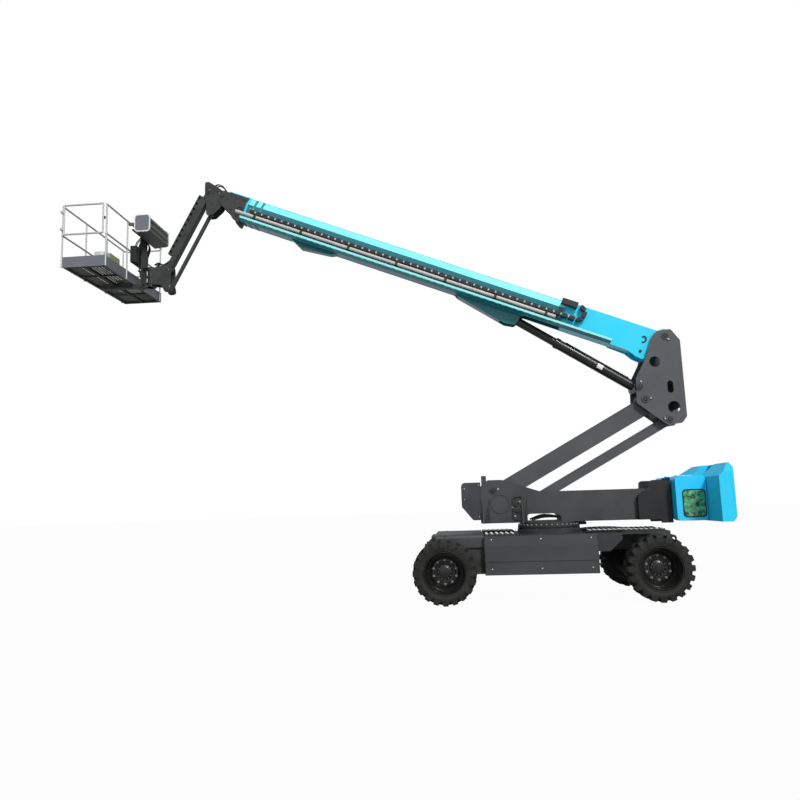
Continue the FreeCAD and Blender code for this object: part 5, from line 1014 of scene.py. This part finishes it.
PLATFORM_X0, PLATFORM_X1, CAGE_END = -5.696988, -4.886988, 1.200
FLOOR_TOP, TIP_Z = 5.979298, 6.216298
RAIL_TOP, RAIL_MID = FLOOR_TOP + 1.085, FLOOR_TOP + 0.545
RAIL_RADIUS, POST_RADIUS, BEND = 0.017, 0.015, 0.110
POST_Y = (-CAGE_END, -CAGE_END / 3, CAGE_END / 3, CAGE_END - BEND)
GATE_Y, GATE_EDGE = -CAGE_END - 0.045, 0.045
rail_steel = finish("rail_steel", (196, 198, 196), dust=(120, 118, 112), dust_share=0.22, patch=7,
                    rough=0.42, drift=0.2, depth=0.12, metal=0.25)
floor_steel = finish("floor_steel", (54, 58, 48), dust=(104, 102, 84), dust_share=0.25, patch=3,
                     drift=0.2, grain=120, depth=0.2)
toe_paint = finish("toe_paint", (100, 103, 110), dust=(140, 138, 130), dust_share=0.15, patch=4,
                   rough=0.45)


def rail_path(height):
    """Down the inner side, round the far end and back up the outer side, bent at both corners."""
    turns = np.linspace(0, math.pi / 2, 9)
    inner = np.column_stack([PLATFORM_X1 - BEND + BEND * np.cos(turns),
                             CAGE_END - BEND + BEND * np.sin(turns)])
    outer = np.column_stack([PLATFORM_X0 + BEND - BEND * np.sin(turns),
                             CAGE_END - BEND + BEND * np.cos(turns)])
    flat = np.vstack([[(PLATFORM_X1, -CAGE_END - RAIL_RADIUS)], [(PLATFORM_X1, 0)], inner, outer,
                      [(PLATFORM_X0, 0)], [(PLATFORM_X0, -CAGE_END - RAIL_RADIUS)]])
    return np.column_stack([flat, np.full(len(flat), height)])


rails = [tube(rail_path(z), RAIL_RADIUS, 18, across=(0, 0, 1)) for z in (RAIL_TOP, RAIL_MID)]
post = lathe([(POST_RADIUS, FLOOR_TOP - 0.045), (POST_RADIUS, RAIL_TOP)], 18)
collar = lathe([(0.0155, RAIL_MID - 0.026), (0.021, RAIL_MID - 0.018), (0.021, RAIL_MID + 0.018),
                (0.0155, RAIL_MID + 0.026)], 18)
uprights = [put(shell, x, y, 0) for shell in (post, collar) for x in (PLATFORM_X0, PLATFORM_X1)
            for y in POST_Y]
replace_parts(build("cage_rails", rails + uprights, rail_steel, "platform"), "platform_rails")
feet = [block((x - 0.020, x + 0.020), (y - 0.022, y + 0.022),
              (FLOOR_TOP - 0.0445, FLOOR_TOP - 0.036))
        for x in (PLATFORM_X0, PLATFORM_X1) for y in POST_Y[1:]]
build("post_feet", feet, rail_steel, "platform", bevel=0.002)

gate_x0, gate_x1 = PLATFORM_X0 + GATE_EDGE, PLATFORM_X1 - GATE_EDGE
gate_tubes = [beam((gate_x0, -5.3, gate_x1), GATE_Y, z, 0.0172, 18, across=(0, 0, 1))
              for z in (RAIL_TOP, RAIL_MID)]
gate_post = lathe([(0.0152, RAIL_MID), (0.0152, RAIL_TOP)], 18)
gate_tubes += [put(gate_post, x, GATE_Y, 0) for x in (gate_x0, gate_x1)]
build("gate_tubes", gate_tubes, rail_steel, "gate")
dress(rail_steel, "platform_gate")
latch = block((gate_x1 - 0.01, gate_x1 + 0.035), (GATE_Y + 0.012, GATE_Y + 0.026),
              (RAIL_MID + 0.26, RAIL_MID + 0.31))
build("gate_latch", [latch], pin_steel, "gate", bevel=0.003)


def punched_plate(x, y, z, across, along, share):
    """A plate with square-cornered holes on a grid: every cell is a frame round its own hole."""
    xs, ys = np.linspace(*x, across + 1), np.linspace(*y, along + 1)
    step = [xs[1] - xs[0], ys[1] - ys[0]]
    cx, cy = np.meshgrid((xs[:-1] + xs[1:]) / 2, (ys[:-1] + ys[1:]) / 2, indexing="ij")
    corner = np.array([(-0.5, -0.5), (0.5, -0.5), (0.5, 0.5), (-0.5, 0.5)]) * step
    centre = np.stack([cx.ravel(), cy.ravel()], axis=1)[:, None, :]
    outer, inner = centre + corner, centre + corner * share
    rings = [np.dstack([ring, np.full(ring.shape[:2], height)]) for ring, height in (
        (outer, z[0]), (outer, z[1]), (inner, z[1]), (inner, z[0]))]
    cells = np.arange(len(centre))[:, None, None] * 16
    return (np.stack(rings, axis=1).reshape(-1, 3),
            [(grid_faces(4, 4, True, True)[None] + cells).reshape(-1, 4)])


tray_x0, tray_x1 = PLATFORM_X0 + 0.015, PLATFORM_X1 - 0.015
low, high, wall = FLOOR_TOP - 0.045, FLOOR_TOP + 0.150, 0.005
toe = [block(x, (-CAGE_END, CAGE_END), (low, high))
       for x in ((tray_x0, tray_x0 + wall), (tray_x1 - wall, tray_x1))]
toe += [block((tray_x0 + wall, tray_x1 - wall), y, (low, high))
        for y in ((-CAGE_END, -CAGE_END + wall), (CAGE_END - wall, CAGE_END))]
build("toe_board", toe, toe_paint, "platform", bevel=0.0015)
plate_x, plate_z = (tray_x0 + 0.006, tray_x1 - 0.006), (FLOOR_TOP - 0.008, FLOOR_TOP)
floor_plates = [punched_plate(plate_x, y, plate_z, 13, 19, 0.58)
                for y in ((-1.194, -0.06), (0.06, 1.194))]
build("floor_plate", floor_plates + [block(plate_x, (-0.06, 0.06), plate_z)], floor_steel,
      "platform")
joists = [block((tray_x0 + wall, tray_x1 - wall), (y - 0.02, y + 0.02), (low, FLOOR_TOP - 0.0085))
          for y in (-1.17, -0.60, 0.60, 1.17)]
joists += [block((x - 0.02, x + 0.02), (-1.19, 1.19), (low, FLOOR_TOP - 0.0085))
           for x in (tray_x0 + 0.025, -5.292, tray_x1 - 0.025)]
beam_low, mast_x, lug_half = TIP_Z - 0.346, -4.726988, 0.088
bracket = [block((PLATFORM_X0 + 0.130, mast_x), (-0.06, 0.06), (beam_low, low)),
           block((mast_x - 0.020, mast_x), (-0.12, 0.12), (beam_low, TIP_Z + 0.590))]
for base in (beam_low, TIP_Z + 0.025):
    bracket.append(block((mast_x, ROTATOR_X), (-lug_half, lug_half), (base, base + 0.016)))
    bracket.append(put(lathe([(lug_half, base), (lug_half, base + 0.016)], 48), ROTATOR_X, 0, 0))
bracket.append(put(lathe([(0.045, beam_low), (0.045, TIP_Z + 0.041)], 36), ROTATOR_X, 0, 0))
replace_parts(build("floor_frame", joists + bracket, head_paint, "platform", bevel=0.002),
            "platform_floor")
build("rotator_cap_bolts", fixings(bolt(0.008), round_circle(6, 0.062, ROTATOR_X, 6.2573), "up"),
      zinc, "platform", smooth=30)


# ------------------------------------------------------------------ platform controls
# Moulded console on the mast with framed end plates, sticks and stripes, the valve box and hose
# loom below it, a loose tool tray, a corner guard and the foot switch on the floor.

CONSOLE_END, CONSOLE_RIM = 0.4190, 0.4195
console_grey = finish("console_plastic", (74, 77, 62), dust=(140, 138, 128), dust_share=0.15,
                      patch=3, rough=0.42, grain=220, depth=0.2)
console_face = finish("console_face", (104, 106, 116), dust=(150, 150, 146), rough=0.3, drift=0.1)
olive = finish("olive_moulding", (134, 140, 100), dust=(160, 158, 140), dust_share=0.15, rough=0.45)
dress(console_grey, "platform_console")


def boxes(name, blocks, material, bevel):
    """An object of plain blocks that rides on the platform."""
    build(name, [block(*limits) for limits in blocks], material, "platform", bevel=bevel)


end_plate = side_prism(rounded(-4.724, -4.452, 6.850, 7.152, 0.055), -0.4400, -CONSOLE_END)
build("console_end", [end_plate, scaled(end_plate, [1, -1, 1])], console_face, "platform",
      bevel=0.003)
rims = rounded(-4.742, -4.434, 6.832, 7.170, 0.070), rounded(-4.722, -4.454, 6.852, 7.150, 0.050)
build("console_rim", [frame_of(*rims, side * CONSOLE_RIM, side * 0.4480) for side in (-1, 1)],
      plate_blank, "platform", bevel=0.0015)
boxes("console_bands", [((-4.446, -4.440), (-0.405, 0.405), (z, z + 0.045))
                        for z in (6.90, 7.02)], black_plastic, 0.002)
boxes("console_strip", [((-4.60, -4.48), (-0.412, 0.412), (7.138, 7.146))], olive, 0.002)
stick = lathe([(0.020, 6.995), (0.016, 7.005), (0.007, 7.012), (0.007, 7.055), (0.013, 7.060),
               (0.014, 7.085), (0.009, 7.093)], 20)
panel = [block((-4.8, -4.735), (-0.36, 0.36), (6.98, 6.996)),
         block((-4.86, -4.735), (-0.30, 0.30), (6.93, 6.948))]
build("console_controls", panel + [put(stick, -4.770, y, 0) for y in (-0.24, -0.08, 0.10, 0.26)],
      black_plastic, "platform", bevel=0.002)
boxes("valve_box", [((-4.875, -4.760), (-0.30, 0.24), (6.30, 6.62)),
                    ((-4.878, -4.872), (-0.26, 0.20), (6.33, 6.59))], black_plastic, 0.006)
loom = [hose([(-4.735, y, 6.82), (-4.80, y * 1.1, 6.74), (-4.82, y * 1.2, 6.66), (-4.80, y, 6.61)],
             0.009, 10, across=(0.05, 1, 0.05)) for y in (-0.16, -0.12, -0.05, 0.04, 0.10)]
for step, (y, foot) in enumerate(zip(np.linspace(-0.21, 0.21, 9), np.linspace(-0.10, 0.10, 9))):
    reach = 0.012 * (step % 3)
    loom.append(hose([
        (-4.738, y * 0.8, 6.83), (-4.700 - reach, y * 1.15, 6.72), (-4.752 - reach, y * 1.1, 6.52),
        (-4.765 - reach, (y + foot) / 2, 6.28), (-4.757 - reach, foot, 6.06)],
        0.009 + 0.002 * (step % 2), 10, across=(0.05, 1, 0.05)))
build("console_loom", loom, rubber_hose, "platform")
boxes("loom_clamps", [((-4.790, -4.748), (-0.150, 0.150), (z, z + 0.022))
                      for z in (6.16, 6.44)], pin_steel, 0.003)
tool_tray = side_prism([(-5.03, 6.00), (-4.915, 6.00), (-4.915, 6.24), (-4.99, 6.24)], -0.98, -0.62)
build("tool_tray", [tool_tray], olive, "platform", bevel=0.004)
quarter = np.linspace(-math.pi / 2, 0, 9)
turn = np.column_stack([np.cos(quarter), np.sin(quarter)])
outside = np.vstack([(-5.10, -1.191), turn * 0.09 + [-5.001, -1.101], (-4.911, -1.0)])
inside = np.vstack([(-5.10, -1.187), turn * 0.086 + [-5.001, -1.101], (-4.915, -1.0)])
guard = prism(np.vstack([outside, inside[::-1]]), FLOOR_TOP + 0.002, FLOOR_TOP + 0.220)
build("corner_guard", [guard], rail_steel, "platform")
boxes("foot_switch", [((-5.24, -5.08), (-0.14, 0.06), (FLOOR_TOP + 0.0005, FLOOR_TOP + 0.035))],
      black_plastic, 0.008)
